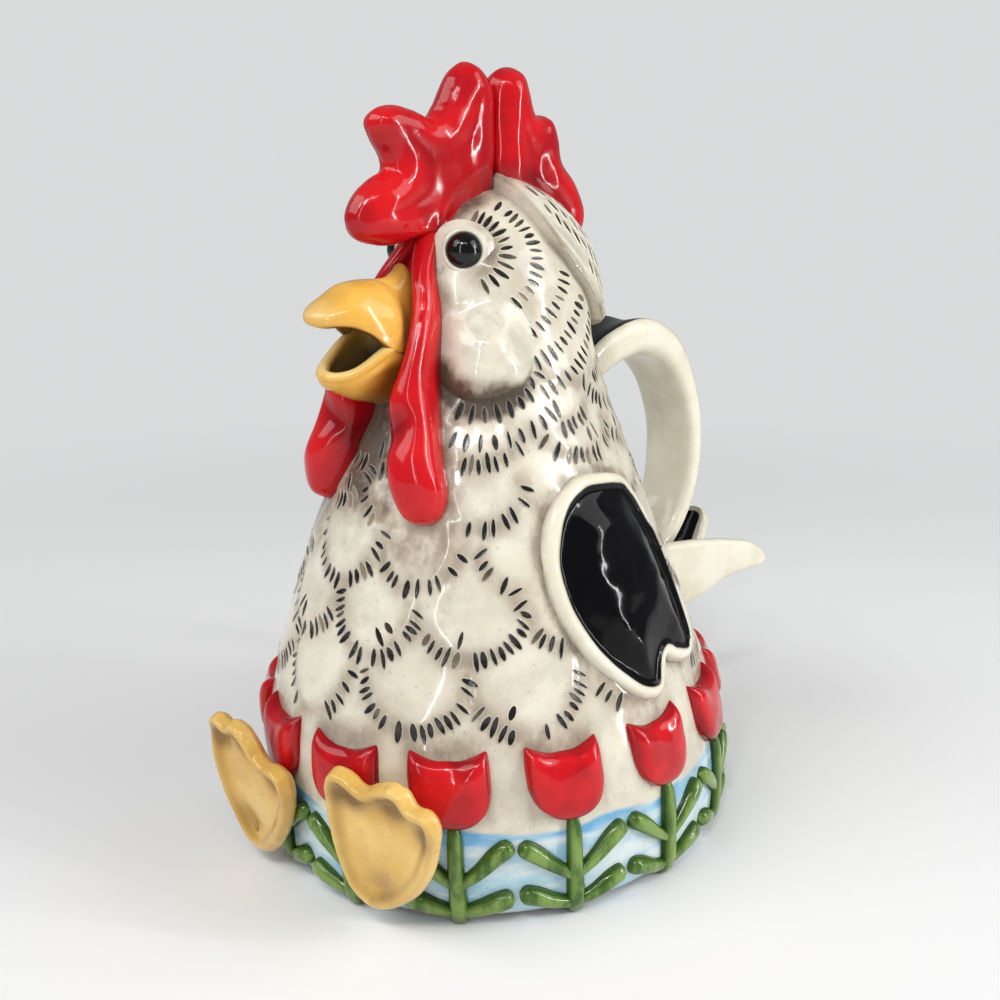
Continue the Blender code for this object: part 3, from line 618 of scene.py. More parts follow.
# scallops of the plumage: U-shaped lines, each row set half a step round from the one below
plumageRows = [(62, 12, 1.3), (82.5, 12, 1.25), (102, 12, 1.2), (120, 11, 1.0), (135, 8, 0.6), (147, 7, 0.5),
               (158, 7, 0.4)]  # lowest height, feathers round the pot, depth for their width
plumage = []
for row, (lowZ, count, tall) in enumerate(plumageRows):
    for k in range(count):
        turn = fullTurn * (k + 0.5 * (row % 2)) / count + math.radians(random.uniform(-2.6, 2.6))
        share = 0.47 * float(reach(np.array(turn), np.array(lowZ + 8.0))) * fullTurn / count
        wide = share * random.uniform(0.88, 1.1)
        deep = wide * tall * random.uniform(0.82, 1.15)
        low = lowZ + random.uniform(-2.0, 2.0)
        plumage.append((turn, float(zAtRun(runAtZ(low) + deep)), wide, deep))
scallopSwing = np.radians(np.linspace(-84.0, 84.0, 41))


def flatOffset(angle, z, turn, height):
    # mm round and up from one spot to others on the skin
    way = (np.asarray(angle) - turn + math.pi) % fullTurn - math.pi
    return way * reach(np.asarray(angle), np.asarray(z)), runAtZ(z) - runAtZ(height)


def nearFeathers(angle, z, margin, above):
    # each feather with the spots close to it: which ones, mm round and up, half width and depth
    for turn, height, wide, deep in plumage:
        east, north = flatOffset(angle, z, turn, height)
        near = np.flatnonzero((np.abs(east) < wide + margin) & (north < above) & (north > -deep - margin))
        if len(near):
            yield near, east[near], north[near], wide, deep


def strokeLines(angle, z):
    # distance to the nearest line of strokes
    best = np.full(len(z), 30.0)
    for near, east, north, wide, deep in nearFeathers(angle, z, 12.0, 12.0):
        gap = np.hypot(east[:, None] - wide * np.sin(scallopSwing), north[:, None] + deep * np.cos(scallopSwing))
        best[near] = np.minimum(best[near], gap.min(1))
    return best


def sprigWashAndShade(angle, z):
    # how dark each spot of the skin is painted: glaze wash gathered along the strokes, and painted shade under and
    # round the sprigs
    fold, spot = foldAngle(angle), skinPoint(angle, z)
    darkenings = [0.46 * np.exp(-(strokeLines(angle, z) / 5.0) ** 2)]
    # behind the eye
    east, north = flatOffset(fold, z, *sprigs["eye"])
    darkenings.append(0.62 * ease(17.0, 8.0, np.hypot(east, north)) * ease(-16.0, 6.0, east + 0.6 * north))
    # painted shade below the cheek, and thinly round the rest of it
    east, north = flatOffset(fold, z, *sprigs["cheek"])
    far = np.hypot(east, north)
    darkenings.append(2.4 * ease(23.0, 14.0, far) * ease(2.0, -12.0, north + 0.45 * east))
    darkenings.append(0.4 * ease(20.0, 13.0, far) * ease(14.0, 0.0, north - 0.5 * east))
    # painted shade below the wattles, on the throat and round the straps
    east, north = flatOffset(fold, z, math.radians(31.0), 112.0)
    darkenings.append(0.48 * ease(20.0, 4.0, np.hypot(east, 0.7 * north)))
    throat = ease(math.radians(27.0), math.radians(12.0), fold) * ease(108.0, 132.0, z) * ease(170.0, 155.0, z)
    darkenings.append(1.1 * throat)
    for a, height, half, _ in sprigs["wattle"]:
        east, north = flatOffset(fold, z, math.radians(a), height)
        darkenings.append(0.62 * ease(half + 6.5, half, np.hypot(east, 0.8 * north)))
    # painted shade round the wings, the tulips, the comb, the handle and the tail
    away = edgeDistance(wingOutline[::4], np.stack([wingFlat(fold, z), z], -1))[0]
    darkenings.append(0.62 * ease(5.5, 0.5, away))
    petal = tulipGap(angle, z)
    darkenings.append(0.55 * ease(17.0, 10.0, petal) * ease(69.0, 56.0, z) * ease(46.0, 54.0, z))
    darkenings.append(0.3 * ease(15.0, 12.0, petal) * ease(30.0, 36.0, z) * ease(60.0, 50.0, z))
    darkenings.append(0.75 * ease(12.5, 6.5, np.abs(spot[..., 0])) * ease(200.0, 208.0, z))
    back = ease(12.0, 20.0, spot[..., 1])
    darkenings.append(0.5 * ease(24.0, 14.0, np.hypot(spot[..., 0], 0.7 * (z - 149.0))) * back)
    darkenings.append(0.6 * ease(32.0, 18.0, np.hypot(spot[..., 0], z - 72.0)) * back)
    return np.maximum.reduce(darkenings)


def skinRelief(angle, z):
    # feathers that lie over each other, a little proud at their lower edge, and hand-pressed unevenness
    spot = skinPoint(angle, z)
    shape = np.zeros(len(z))
    for near, east, north, wide, deep in nearFeathers(angle, z, 6.0, 14.0):
        inside = (1.0 - np.hypot(east / wide, np.minimum(north, 0.0) / deep)) * min(wide, deep)
        proud = 0.95 * ease(-1.6, 3.4, inside) * ease(18.0, 4.0, inside) * ease(9.0, -4.0, north)
        shape[near] = np.maximum(shape[near], proud)
    shape = shape * ease(57.0, 64.0, z) * ease(176.0, 160.0, z)
    shape = shape + 0.8 * lumps(spot, 27.0, 2.0) + 0.3 * lumps(spot, 11.0, 5.0)
    return shape * ease(0.0, 6.0, z)


# body: one sheet from the middle of the underside, up outside, over the rim and down inside
bodyRows = {"under": 7, "outer": 216, "rim": 8, "inner": 40, "floor": 8}
rowKind = np.append(np.repeat(np.arange(5), list(bodyRows.values())), 4)
rowStep = np.append(np.concatenate([np.arange(n) / n for n in bodyRows.values()]), 1.0)


def placeBody(u, v):
    row = np.rint(v * (len(rowKind) - 1)).astype(int)
    angle, kind, t = fullTurn * u, rowKind[row], rowStep[row]
    wall, floor, corner = bodyForm["wall"], bodyForm["floor"], bodyForm["corner"]
    middle = np.array([0.0, -1.0, 0.0])
    places = bodyForm["seamPlaces"]
    rimZ, rimIn = seamAround(u, places), seamAround(u, places, -wall)
    out = np.zeros((len(u), 3))
    washAndShade, blush, blue = np.zeros((3, len(u)))
    # underside
    pick = kind == 0
    out[pick] = (skinPoint(angle[pick], 0.0 * t[pick]) - middle) * np.sqrt(t[pick])[:, None] + middle
    out[pick, 2] = 0.0
    # outside
    pick = kind == 1
    turn, z = angle[pick], zAtRun(t[pick] * runAtZ(rimZ[pick]))
    left = runAtZ(rimZ[pick]) - runAtZ(z)
    out[pick] = skin(turn, z, skinRelief(turn, z) * ease(0.0, 5.0, left))
    # painted shade along the seam under the lid, over the skin's wash and shade
    washAndShade[pick] = np.maximum(sprigWashAndShade(turn, z), 0.55 * ease(3.5, 0.5, left))
    blush[pick] = ease(0.36, 0.31, foldAngle(turn)) * ease(186.0, 189.0, z) * ease(214.0, 211.0, z)
    blue[pick] = ease(23.0, 33.0, z) + 0.55 * ease(9.0, 2.0, tulipGap(turn, z))
    # rim
    pick = kind == 2
    swing = 0.5 - 0.5 * np.cos(math.pi * t[pick])
    z = rimZ[pick] + (rimIn[pick] - rimZ[pick]) * swing
    out[pick] = skin(angle[pick], z, -wall * swing) + 0.7 * np.sin(math.pi * t[pick])[:, None] * lidWay
    # inside
    pick = kind == 3
    z = rimIn[pick] + (floor + corner - rimIn[pick]) * t[pick]
    uneven = 0.4 * lumps(skinPoint(angle[pick], z), 22.0, 9.0) * ease(0.0, 0.1, t[pick])
    out[pick] = skin(angle[pick], z, -wall + uneven)
    # floor
    pick = kind == 4
    edge = skin(angle[pick], np.full(pick.sum(), floor + corner), -wall)
    middle = middle + np.array([0.0, 0.0, floor])
    out[pick] = middle + (edge - middle) * (1.0 - t[pick] ** 1.5)[:, None]
    out[pick, 2] = floor + corner * (1.0 - t[pick]) ** 3
    return out, {"washAndShade": washAndShade, "blush": blush, "blue": np.minimum(blue, 1.0)}


bodyPiece = addSheet("body", bodyForm["around"], len(rowKind) - 1, placeBody)
weld(bodyPiece)
pourHole = {"halfX": 5.6, "halfZ": 10.5, "z": 172.0}
bpy.ops.object.select_all(action="DESELECT")
bpy.ops.mesh.primitive_cylinder_add(vertices=64, radius=1.0, depth=0.06, rotation=(math.pi / 2.0, 0.0, 0.0),
                                    location=(0.0, -0.043, pourHole["z"] * mm))
cutter = bpy.context.object
cutter.scale = (pourHole["halfX"] * mm, pourHole["halfZ"] * mm, 1.0)
bpy.context.view_layer.update()
modify(bodyPiece, "BOOLEAN", object=cutter, operation="DIFFERENCE", solver="EXACT")
bpy.data.objects.remove(cutter)
weld(bodyPiece, 1e-6)
hand(bodyPiece, glaze["body"], "cream_glaze", "pot", "body_shell")

# lid: outside of the back of the head, thick edge, locating flange and hollow inside
lidForm = {
    "proud": 4.2,
    "gap": 0.3,
    "around": 240,
    "seamPlaces": 481,
    # lift off the skin and shift off the seam, from the rolled edge round the flange to the inside
    "path": [(3.5, 0.1), (2.8, 0.02), (0.0, 0.1), (-3.0, 0.2), (-6.2, 0.3), (-6.2, -4.6), (-6.8, -5.0),
             (-8.8, -5.0), (-9.4, -4.6), (-9.4, 3.0), (-9.0, 3.4), (-3.0, 3.4), (-2.4, 3.8)],
}
lidOuter, lidEdge, lidInner = 66, 2 * len(lidForm["path"]), 40


def lidLift(angle, z, seam):
    # the lid's outside stands proud of the body, with a rolled edge
    left = np.abs(runAtZ(seam) - runAtZ(z))
    return (lidForm["proud"] + 0.7 * ease(10.0, 2.5, left) - 1.5 * ease(2.0, 0.0, left) ** 2
            + 0.5 * lumps(skinPoint(angle, z), 24.0, 2.0))


def placeLid(u, v):
    row = np.rint(v * (lidOuter + lidEdge + lidInner)).astype(int)
    angle, top, places = fullTurn * u, runAtZ(bodyForm["top"]), lidForm["seamPlaces"]
    out, washAndShade = np.zeros((len(u), 3)), np.zeros(len(u))
    pick = row <= lidOuter
    seam = seamAround(u[pick], places, lidForm["proud"], lidForm["gap"])
    t = row[pick] / lidOuter
    z = zAtRun(top + (runAtZ(seam) - top) * t)
    out[pick] = skin(angle[pick], z, lidLift(angle[pick], z, seam))
    # painted shade towards the lid's rolled edge, over the skin's wash and shade
    washAndShade[pick] = 0.5 * ease(0.93, 1.0, t) + sprigWashAndShade(angle[pick], z) * 0.6
    for k in range(lidEdge):
        pick = row == lidOuter + 1 + k
        lift, shift = curve(lidForm["path"], k / (lidEdge - 1))
        out[pick] = skin(angle[pick], seamAround(u[pick], places, lift, shift), lift)
        # the edge and flange are painted a little darker, as shade
        washAndShade[pick] = 0.25
    pick = row > lidOuter + lidEdge
    lift, shift = lidForm["path"][-1]
    seam = seamAround(u[pick], places, lift, shift)
    t = (row[pick] - lidOuter - lidEdge) / lidInner
    out[pick] = skin(angle[pick], zAtRun(runAtZ(seam) + (top - runAtZ(seam)) * t), lift)
    return out, {"washAndShade": washAndShade}


lidPiece = addSheet("lid", lidForm["around"], lidOuter + lidEdge + lidInner, placeLid)
weld(lidPiece)
hand(lidPiece, glaze["cream"], "cream_glaze", "lid", "lid_shell")
print("stage body and lid")


# strokes: every one is the same almond, laid along the skin by rule
strokeForm = {
    "around": 10,
    "clear": 2.4,
    "seamClear": 3.4,
    "apart": 1.85,
    "most": 4000,
    # longer, wider and higher than the stroke: foot of the pushed-up lip, its crest, edge and floor of the cut
    "rings": [(0.80, 0.80, -0.45), (0.36, 0.34, 0.27), (0.02, -0.02, 0.09), (-0.30, -0.25, 0.075)],
    "middles": (0.07, -1.0),
    # rings of strokes round the eyes and cheeks: radius, first and last turn, pitch, lean, length, width
    "eye": [(12.6, -62, 82, 2.5, 1.0, 5.2, 1.3), (21.5, -50, 90, 2.5, 1.0, 5.2, 1.3),
            (31.0, -60, 64, 2.5, 1.0, 5.4, 1.3), (39.5, -66, 40, 2.5, 1.0, 5.4, 1.3),
            (48.0, -66, 10, 2.5, 1.0, 5.6, 1.3)],
    "cheek": [(18.2, -165, -12, 3.2, 0.6, 5.4, 1.5), (27.0, -150, -24, 3.2, 0.6, 5.4, 1.5)],
    # rows that follow the rim of the lid: depth and length
    "lid": [(6.6, 4.8), (15.5, 5.0), (24.5, 5.0), (33.5, 5.0)],
}
ringTurn = fullTurn * np.arange(strokeForm["around"]) / strokeForm["around"]
almondA = np.cos(ringTurn)
almondB = np.sin(ringTurn) * np.abs(np.sin(ringTurn)) ** 0.15
seamRing = fullTurn * np.linspace(0, 1, 361)
seamSpots = skin(seamRing, seamHeight(seamRing), 0.0)
strokes = []


def clearOf(angle, z):
    # false where a stroke would run under a sprig or over the seam
    angle, z, margin = np.array(angle), np.array(z), strokeForm["clear"]
    fold, spot, petal = foldAngle(angle), skinPoint(angle, z), tulipGap(angle, z)
    x, y = abs(spot[0]), spot[1]
    flat = np.array([[float(wingFlat(fold, z)), z]])
    under = [
        np.hypot(*flatOffset(fold, z, *sprigs["eye"])) < 8.6 + margin,
        np.hypot(*flatOffset(fold, z, *sprigs["cheek"])) < 13.4 + margin,
        insideOutline(wingOutline[::4], flat)[0] or edgeDistance(wingOutline[::4], flat)[0][0] < margin + 0.8,
        # tulips
        z < 60.5 - 5.0 * (petal > 13.5),
        z < 62.0 - 6.5 * max(0.0, 1.0 - (petal / 12.0) ** 2) and petal < 12.5,
        # beak, comb, handle, tail and feet
        y < -30.0 and fold < math.radians(15.0) and 146.0 < z < 203.0,
        x < 9.5 and z > 200.0,
        y > 12.0 and x < 16.5 and 136.0 < z < 168.0,
        y > 12.0 and x < 27.0 and z < 90.0,
        fold < math.radians(32.0) and z < 62.0,
        np.min(np.linalg.norm(seamSpots - spot, axis=1)) <= strokeForm["seamClear"],
    ]
    for a, height, half, _ in sprigs["wattle"]:
        east, north = flatOffset(fold, z, math.radians(a), height)
        under.append(math.hypot(east, 0.7 * north) < half + margin)
    return not any(under)


takenSpots = np.zeros((3 * strokeForm["most"], 3))


def addStroke(angle, z, heading, length, width):
    # heading is measured from straight up towards the bird's left; strokes never cross
    if not clearOf(angle, z):
        return
    heading += random.uniform(-0.14, 0.14)
    length *= random.uniform(0.76, 1.18)
    width *= random.uniform(0.62, 1.22)
    reached = 0.38 * length * np.array([-1.0, 0.0, 1.0])
    own = skinPoint(*skinOffset(angle, z, reached * math.sin(heading), reached * math.cos(heading)))
    used = 3 * len(strokes)
    if used and np.linalg.norm(takenSpots[:used, None] - own, axis=2).min() < strokeForm["apart"]:
        return
    takenSpots[used:used + 3] = own
    strokes.append((angle, z, heading, length, width))


# rings behind each eye and below each cheek, then the scallops of the plumage, then the lid
for side in (1.0, -1.0):
    for centre in ("eye", "cheek"):
        for radius, lowTurn, highTurn, pitch, lean, length, width in strokeForm[centre]:
            count = int(math.radians(highTurn - lowTurn) * radius / pitch)
            for k in range(count):
                turn = math.radians(lowTurn + (highTurn - lowTurn) * k / (count - 1))
                angle, z = skinOffset(*sprigs[centre], radius * math.cos(turn), radius * math.sin(turn))
                heading = math.atan2(math.cos(turn) * lean, math.sin(turn))
                if z < 212.0 and not inLid(skinPoint(angle, z)):
                    addStroke(side * float(angle), float(z), side * heading, length, width)
for turn, height, wide, deep in plumage:
    swing = np.radians(np.linspace(-86.0, 86.0, 200))
    run = runAlong(np.stack([wide * np.sin(swing), -deep * np.cos(swing)], -1))
    size = 0.62 + 0.38 * wide / 17.0
    for inset in ([0.0] if random.random() < 0.45 else [0.0, 6.0]):
        low, high = 0.8, run[-1]
        if inset:
            low, high = sorted(random.uniform(0.15, 0.85) * run[-1] for _ in range(2))
        for at in np.arange(low, high, 2.6 * size):
            t = float(np.interp(at + random.uniform(-0.4, 0.4), run, swing))
            lean = math.atan2(math.sin(t) / wide, math.cos(t) / deep)
            angle, z = skinOffset(turn, height, (wide - inset) * math.sin(t) + random.uniform(-0.5, 0.5),
                                  (inset - deep) * math.cos(t) + random.uniform(-0.6, 0.6))
            fade = 1.0 - 0.25 * math.sin(t) ** 2
            addStroke(float(angle), float(z), -0.72 * lean, 6.0 * size * fade, 1.75 * size * fade)
for depth, length in strokeForm["lid"]:
    around = np.linspace(0.0, fullTurn, 400)
    rimRun = runAtZ(seamHeight(around, lidForm["proud"], lidForm["gap"]))
    run = runAlong(skin(around, zAtRun(rimRun + depth), lidForm["proud"]))
    for at in np.arange(0.0, run[-1], 4.1):
        angle = float(np.interp(at, run, around))
        z = float(zAtRun(np.interp(at, run, rimRun) + depth))
        if z < 214.0 and abs(skinPoint(np.array(angle), np.array(z))[0]) > 9.0 or z < 196.0:
            addStroke(angle, z + random.uniform(-0.9, 0.9), random.uniform(-0.2, 0.4), length, 1.3)


def layStrokes(name, picked, onTheLid):
    angle, z, heading, length, width = [np.array([s[k] for s in picked])[:, None] for k in range(5)]
    rows = [(almondA * (0.5 * length + longer), almondB * (0.5 * width + wider), height + 0.0 * almondA * length)
            for longer, wider, height in strokeForm["rings"]]
    rows += [(0.0 * length, 0.0 * width, 0.0 * length + height) for height in strokeForm["middles"]]
    along, across, high = [np.concatenate(column, 1) for column in zip(*rows)]
    east = along * np.sin(heading) + across * np.cos(heading)
    north = along * np.cos(heading) - across * np.sin(heading)
    a, h = skinOffset(angle, z, east, north)
    if onTheLid:
        seam = seamHeight(a.ravel(), lidForm["proud"], lidForm["gap"])
        relief = lidLift(a.ravel(), h.ravel(), seam).reshape(a.shape)
    else:
        relief = skinRelief(a.ravel(), h.ravel()).reshape(a.shape)
    places = skin(a, h, relief + high)
    n = strokeForm["around"]
    faces = []
    for k in range(n):
        m = (k + 1) % n
        faces += [(r * n + k, r * n + m, r * n + n + m, r * n + n + k) for r in range(3)]
        faces += [(3 * n + k, 3 * n + m, 4 * n), (m, k, 4 * n + 1)]
    every = [tuple(i * (4 * n + 2) + c for c in face) for i in range(len(picked)) for face in faces]
    mesh = bpy.data.meshes.new(name)
    mesh.from_pydata((places.reshape(-1, 3) * mm).tolist(), [], every)
    piece = bpy.data.objects.new(name, mesh)
    bpy.context.scene.collection.objects.link(piece)
    ink = np.concatenate([np.zeros(2 * n), np.full(n, 0.8), np.ones(n), [1.0, 0.0]])
    paint(piece, "ink", np.tile(ink, len(picked)))
    paint(piece, "thin", np.repeat([random.random() ** 4 for _ in picked], 4 * n + 2))
    paint(piece, "washAndShade", np.repeat(sprigWashAndShade(angle[:, 0], z[:, 0]), 4 * n + 2))
    weld(piece, 1e-7)
    return piece


def onLid(stroke):
    return stroke[1] > float(seamHeight(np.array([stroke[0]]))[0])


lidStrokes = [s for s in strokes if onLid(s)]
bodyStrokes = [s for s in strokes if not onLid(s)]
hand(layStrokes("strokesBody", bodyStrokes, False), glaze["ink"], "black_glaze", "pot")
hand(layStrokes("strokesLid", lidStrokes, True), glaze["ink"], "black_glaze", "lid")
print("stage strokes", len(bodyStrokes), len(lidStrokes))


# comb: thick puffed plates, lobes with a rolled edge and a pressed hollow
combForm = {
    "front": [(-61.5, 203.4), (-56, 201.4), (-48, 201), (-39, 202.8), (-30, 202), (-18, 204), (-8.6, 208),
              (-7.8, 218), (-7.6, 232), (-7.6, 245), (-11, 251.3), (-17.5, 254.1), (-23.4, 250.1), (-28.6, 241.6),
              (-33, 237), (-39, 238.6), (-46.2, 239.7), (-52.4, 238.3), (-54.8, 234.9), (-53, 230.1),
              (-49.6, 225.3), (-49.4, 221.9), (-54.6, 219.2), (-60, 214.8), (-63.2, 209.3)],
    "rear": [(-6, 221), (-6.4, 234), (-6.6, 246), (-4.4, 251.8), (0.8, 254.1), (5.6, 252.9), (8.2, 248), (11, 241),
             (18.6, 240), (22.8, 233.6), (24.4, 226.8), (30.2, 221), (35, 214.3), (35.8, 208.8), (32.6, 202.6),
             (24, 200), (12, 206), (0, 212)],
    "half": 7.0,
    "roll": 8.6,
}


def combDepth(lift):
    def depth(away, u, v):
        puff = combForm["half"] * quarterRound(away / combForm["roll"])
        puff = puff - 1.3 * ease(7.0, 15.0, away)
        flat = np.stack([0.0 * u, u, v], -1)
        puff = puff * (1.0 + 0.20 * lumps(flat, 13.0, 4.0) + 0.05 * lumps(flat, 7.0, 8.0))
        skirt = 4.0 * ease(10.0, 0.0, v - combFloor(u) - lift) * ease(-47.0, -40.0, u) * ease(-27.0, -36.0, u)
        # the plate thins where it is smoothed on to the forehead above the eyes
        pinch = 0.42 * ease(13.0, 3.0, v - combFloor(u) - lift) * ease(-36.0, -27.0, u) * ease(-6.0, -14.0, u)
        return (puff + skirt * ease(0.0, 3.0, away)) * (1.0 - pinch)
    return depth


def combFloor(u):
    # top of the head below the comb
    return np.interp(u, [-44, -30, -20, -8, 0, 12, 24, 36], [196, 203, 209, 216.5, 218, 213.5, 204, 190])


def buildComb(name, outline, lift, body, node):
    ring = closedCurve(outline, 6)
    way = unit(np.roll(ring, -1, axis=0) - np.roll(ring, 1, axis=0))
    swell = np.stack([-way[:, 1], way[:, 0]], -1)
    grown = ring + 0.7 * swell
    if np.ptp(grown[:, 1]) < np.ptp(ring[:, 1]):
        grown = ring - 0.7 * swell
    depth = combDepth(lift)
    piece = addPlate(name, grown, depth, lambda away, u, v: -depth(away, u, v),
                     lambda u, v, d: np.stack([d, u, v], -1), voxel=0.6, smooth=8)[0]
    place = corners(piece) / mm
    away = edgeDistance(ring, place[:, 1:])[0]
    dent = lumps(place * np.array([0.0, 1.0, 1.0]), 13.0, 4.0)
    # darker towards the middle of each plate and in its dents, where the red glaze pools, and painted shade along
    # the foot of the comb on the head
    hollow = 0.42 * ease(6.0, 14.0, away) + 0.45 * ease(0.1, -0.5, dent)
    hollow = hollow + 0.5 * ease(8.0, 0.0, place[:, 2] - combFloor(place[:, 1]) - lift)
    paint(piece, "deep", clamp(hollow))
    hand(piece, glaze["red"], "red_glaze", body, node)


buildComb("combFront", combForm["front"], 0.0, "pot", "front_comb")
buildComb("combRear", combForm["rear"], lidForm["proud"], "lid", "rear_comb")
print("stage comb")


# tube helper: a sheet rolled round a line of sections, closed to a point at both ends
def addTube(name, around, along, section):
    # section(turn, t) gives spots and layers for a turn in radians and t from 0 to 1
    def place(u, v):
        spots, layers = section(fullTurn * u, clamp((v * along - 1.0) / (along - 2.0)))
        for end in (0.0, 1.0):
            pick = v == end
            spots[pick] = spots[pick].mean(0)
        return spots, layers
    return addSheet(name, around, along, place)


# eyes and cheeks
eyeForm = {"ball": 5.8, "depth": 5.5,
           "socket": [(4.9, -1.8), (5.3, 0.6), (5.7, 1.25), (6.35, 1.2), (6.95, 0.45), (8.0, -0.35), (9.7, -1.7),
                      (9.0, -3.0), (6.7, -3.0)]}
cheekForm = {"half": 20.5, "high": 8.6}
socketRing = closedCurve(eyeForm["socket"], 4)
for sideName, side in sides:
    lower = sideName.lower()
    foot = skin(side * sprigs["eye"][0], sprigs["eye"][1])
    out = unit(skin(side * sprigs["eye"][0], sprigs["eye"][1], 1.0) - foot)
    out = unit(out + np.array([0.25 * side, -0.1, -0.35]))
    east = unit(np.cross([0.0, 0.0, 1.0], out))
    north = np.cross(out, east)

    def across(turn):
        return np.cos(turn)[:, None] * east + np.sin(turn)[:, None] * north

    def eyeSocket(u, v):
        turn = fullTurn * u
        row = socketRing[np.rint(v * len(socketRing)).astype(int) % len(socketRing)]
        radius = row[:, 0] * (1.0 + 0.03 * np.sin(3.0 * turn + 1.0) * ease(5.5, 8.0, row[:, 0]))
        return foot + across(turn) * radius[:, None] + out * row[:, 1:], {}

    ringPiece = addSheet("eyeRing" + sideName, 72, len(socketRing), eyeSocket)
    local = corners(ringPiece) / mm - foot
    radius = np.linalg.norm(local - (local @ out)[:, None] * out, axis=1)
    behind = ease(-0.5, 0.8, (local @ east) * side / np.maximum(radius, 1.0))
    # painted shade round the eyeball and behind the ring
    washAndShade = 0.9 * ease(5.6, 5.1, radius) + 0.45 * ease(6.8, 7.7, radius) * behind
    paint(ringPiece, "washAndShade", clamp(washAndShade))
    weld(ringPiece)
    hand(ringPiece, glaze["cream"], "white_glaze", "pot", lower + "_eye_ring")

    def eyeBall(turn, t):
        wide, deep = eyeForm["ball"] * np.sin(math.pi * t), eyeForm["depth"] * np.cos(math.pi * t)
        return foot - out * 0.9 + across(turn) * wide[:, None] - out * deep[:, None], {"washAndShade": 0.9}

    ball = addTube("eyeBall" + sideName, 48, 36, eyeBall)
    high = (corners(ball) / mm - foot) @ out
    paint(ball, "panel", ease(-0.6, 0.4, high))
    weld(ball)
    hand(ball, glaze["eye"], "black_glaze", "pot", lower + "_eyeball")

    # the cheek swells softly out of the head and overhangs at its lower edge
    def cheek(u, v):
        turn = fullTurn * u
        far = np.where(v < 0.8, v / 0.8, 5.0 * (1.0 - v))
        wide = cheekForm["half"] * (1.0 + 0.06 * np.sin(turn))
        angle, z = skinOffset(*sprigs["cheek"], wide * far * np.cos(turn), wide * far * np.sin(turn))
        angle = side * angle
        soft = (0.5 + 0.5 * np.cos(math.pi * far)) ** 1.3
        full = clamp(1.0 - (far / 0.76) ** 2.2) ** 0.6
        below = ease(-0.1, 0.9, 0.25 * np.cos(turn) - np.sin(turn)) * ease(0.0, 0.3, far)
        lift = cheekForm["high"] * (soft + (full - soft) * below) - 0.35
        lift = np.where(v > 0.8, -2.0 * ease(0.8, 0.86, v) - 0.35, lift)
        # painted shade with some brown glaze wash under the overhanging lower edge, and painted shade on the
        # tucked-in rim
        cheekStainAndShade = 1.5 * ease(0.30, 0.74, far) * ease(-0.2, -0.9, np.sin(turn) + 0.45 * np.cos(turn))
        cheekStainAndShade = cheekStainAndShade + 0.9 * ease(0.60, 0.78, far) * ease(0.0, -0.7, np.sin(turn))
        lift = lift + skinRelief(angle, z)
        lift = lift + 0.35 * lumps(skinPoint(angle, z), 11.0, 3.0) * ease(1.0, 0.6, far)
        return skin(angle, z, lift), {"washAndShade": np.minimum(np.where(v > 0.8, 0.5, cheekStainAndShade), 1.5)}

    dome = addSheet("cheek" + sideName, 72, 40, cheek)
    weld(dome)
    hand(dome, glaze["cream"], "white_glaze", "pot", lower + "_cheek")

    # strap and wattle: a fat ribbon on the skin with a fold across the lobe
    def wattle(turn, t):
        a, z, half, thick = curve(sprigs["wattle"], t).T
        c, s = np.cos(turn), np.sin(turn)
        tip = roundedEnd((t - 0.82) / 0.18)
        half = half * (1.0 + 0.05 * np.sin(13.0 * t)) * tip
        across = half * np.sign(c) * np.abs(c) ** 0.85
        lift = np.where(s > 0, thick * (0.35 + 0.65 * tip) * np.abs(s) ** 0.7, 2.0 * s)
        front = ease(0.15, 0.8, s)
        pinch = np.exp(-((z - 145.0 + 0.5 * across) / 4.6) ** 2) * ease(-5.0, 2.0, across)
        belly = np.exp(-((z - 130.0) / 7.0) ** 2)
        lift = lift - front * 3.2 * pinch + 1.2 * front * belly
        angle = side * (np.radians(a) - across / reach(np.radians(a), z))
        spot = skin(angle, z, lift)
        uneven = 0.6 * lumps(spot, 11.0, 6.0 + side) * front
        spot = spot + uneven[:, None] * unit(skin(angle, z, lift + 1.0) - spot)
        # painted shade in the fold across the lobe and on the side that lies against the skin
        return spot, {"deep": clamp(0.8 * pinch + 0.7 * ease(0.35, -0.1, s))}

    flap = addTube("wattle" + sideName, 48, 110, wattle)
    weld(flap)
    modify(flap, "SMOOTH", factor=0.5, iterations=2)
    hand(flap, glaze["red"], "red_glaze", "pot", lower + "_wattle")
print("stage face")


# beak: two bowls, one turned over, each with a rolled rim; edge and crown are heights along the bird's middle
beakForm = {
    "upper": {"middle": -57.0, "front": 22.0, "back": 20.0, "wide": 11.8, "bead": 1.6, "proud": 0.0,
              "cavity": (-76.0, -63.0),
              "edge": [(-80, 180.2), (-77.8, 180), (-74.6, 180.5), (-70.2, 180.2), (-64.9, 178.2), (-61, 175.2),
                       (-57, 172.8), (-52, 171.6), (-37, 171.6)],
              "crown": [(-80, 185.8), (-77, 186.2), (-74, 187.1), (-70, 188.7), (-66, 190.6), (-62, 190.9),
                        (-54, 191.1), (-50, 192.4), (-47, 195.9), (-44, 201), (-37, 202)]},
    "lower": {"middle": -56.0, "front": 18.9, "back": 19.0, "wide": 11.2, "bead": 2.0, "proud": 0.5,
              "cavity": (-82.0, -80.0),
              "edge": [(-76, 163), (-73.3, 163.6), (-70, 164.9), (-66, 167.2), (-61, 170.4), (-57, 172.4),
                       (-52, 173), (-37, 173)],
              "crown": [(-76, 156.4), (-72, 156.6), (-66, 155.3), (-60.5, 154.4), (-56, 153.6), (-52, 152.6),
                        (-46, 150), (-37, 149)]},
}


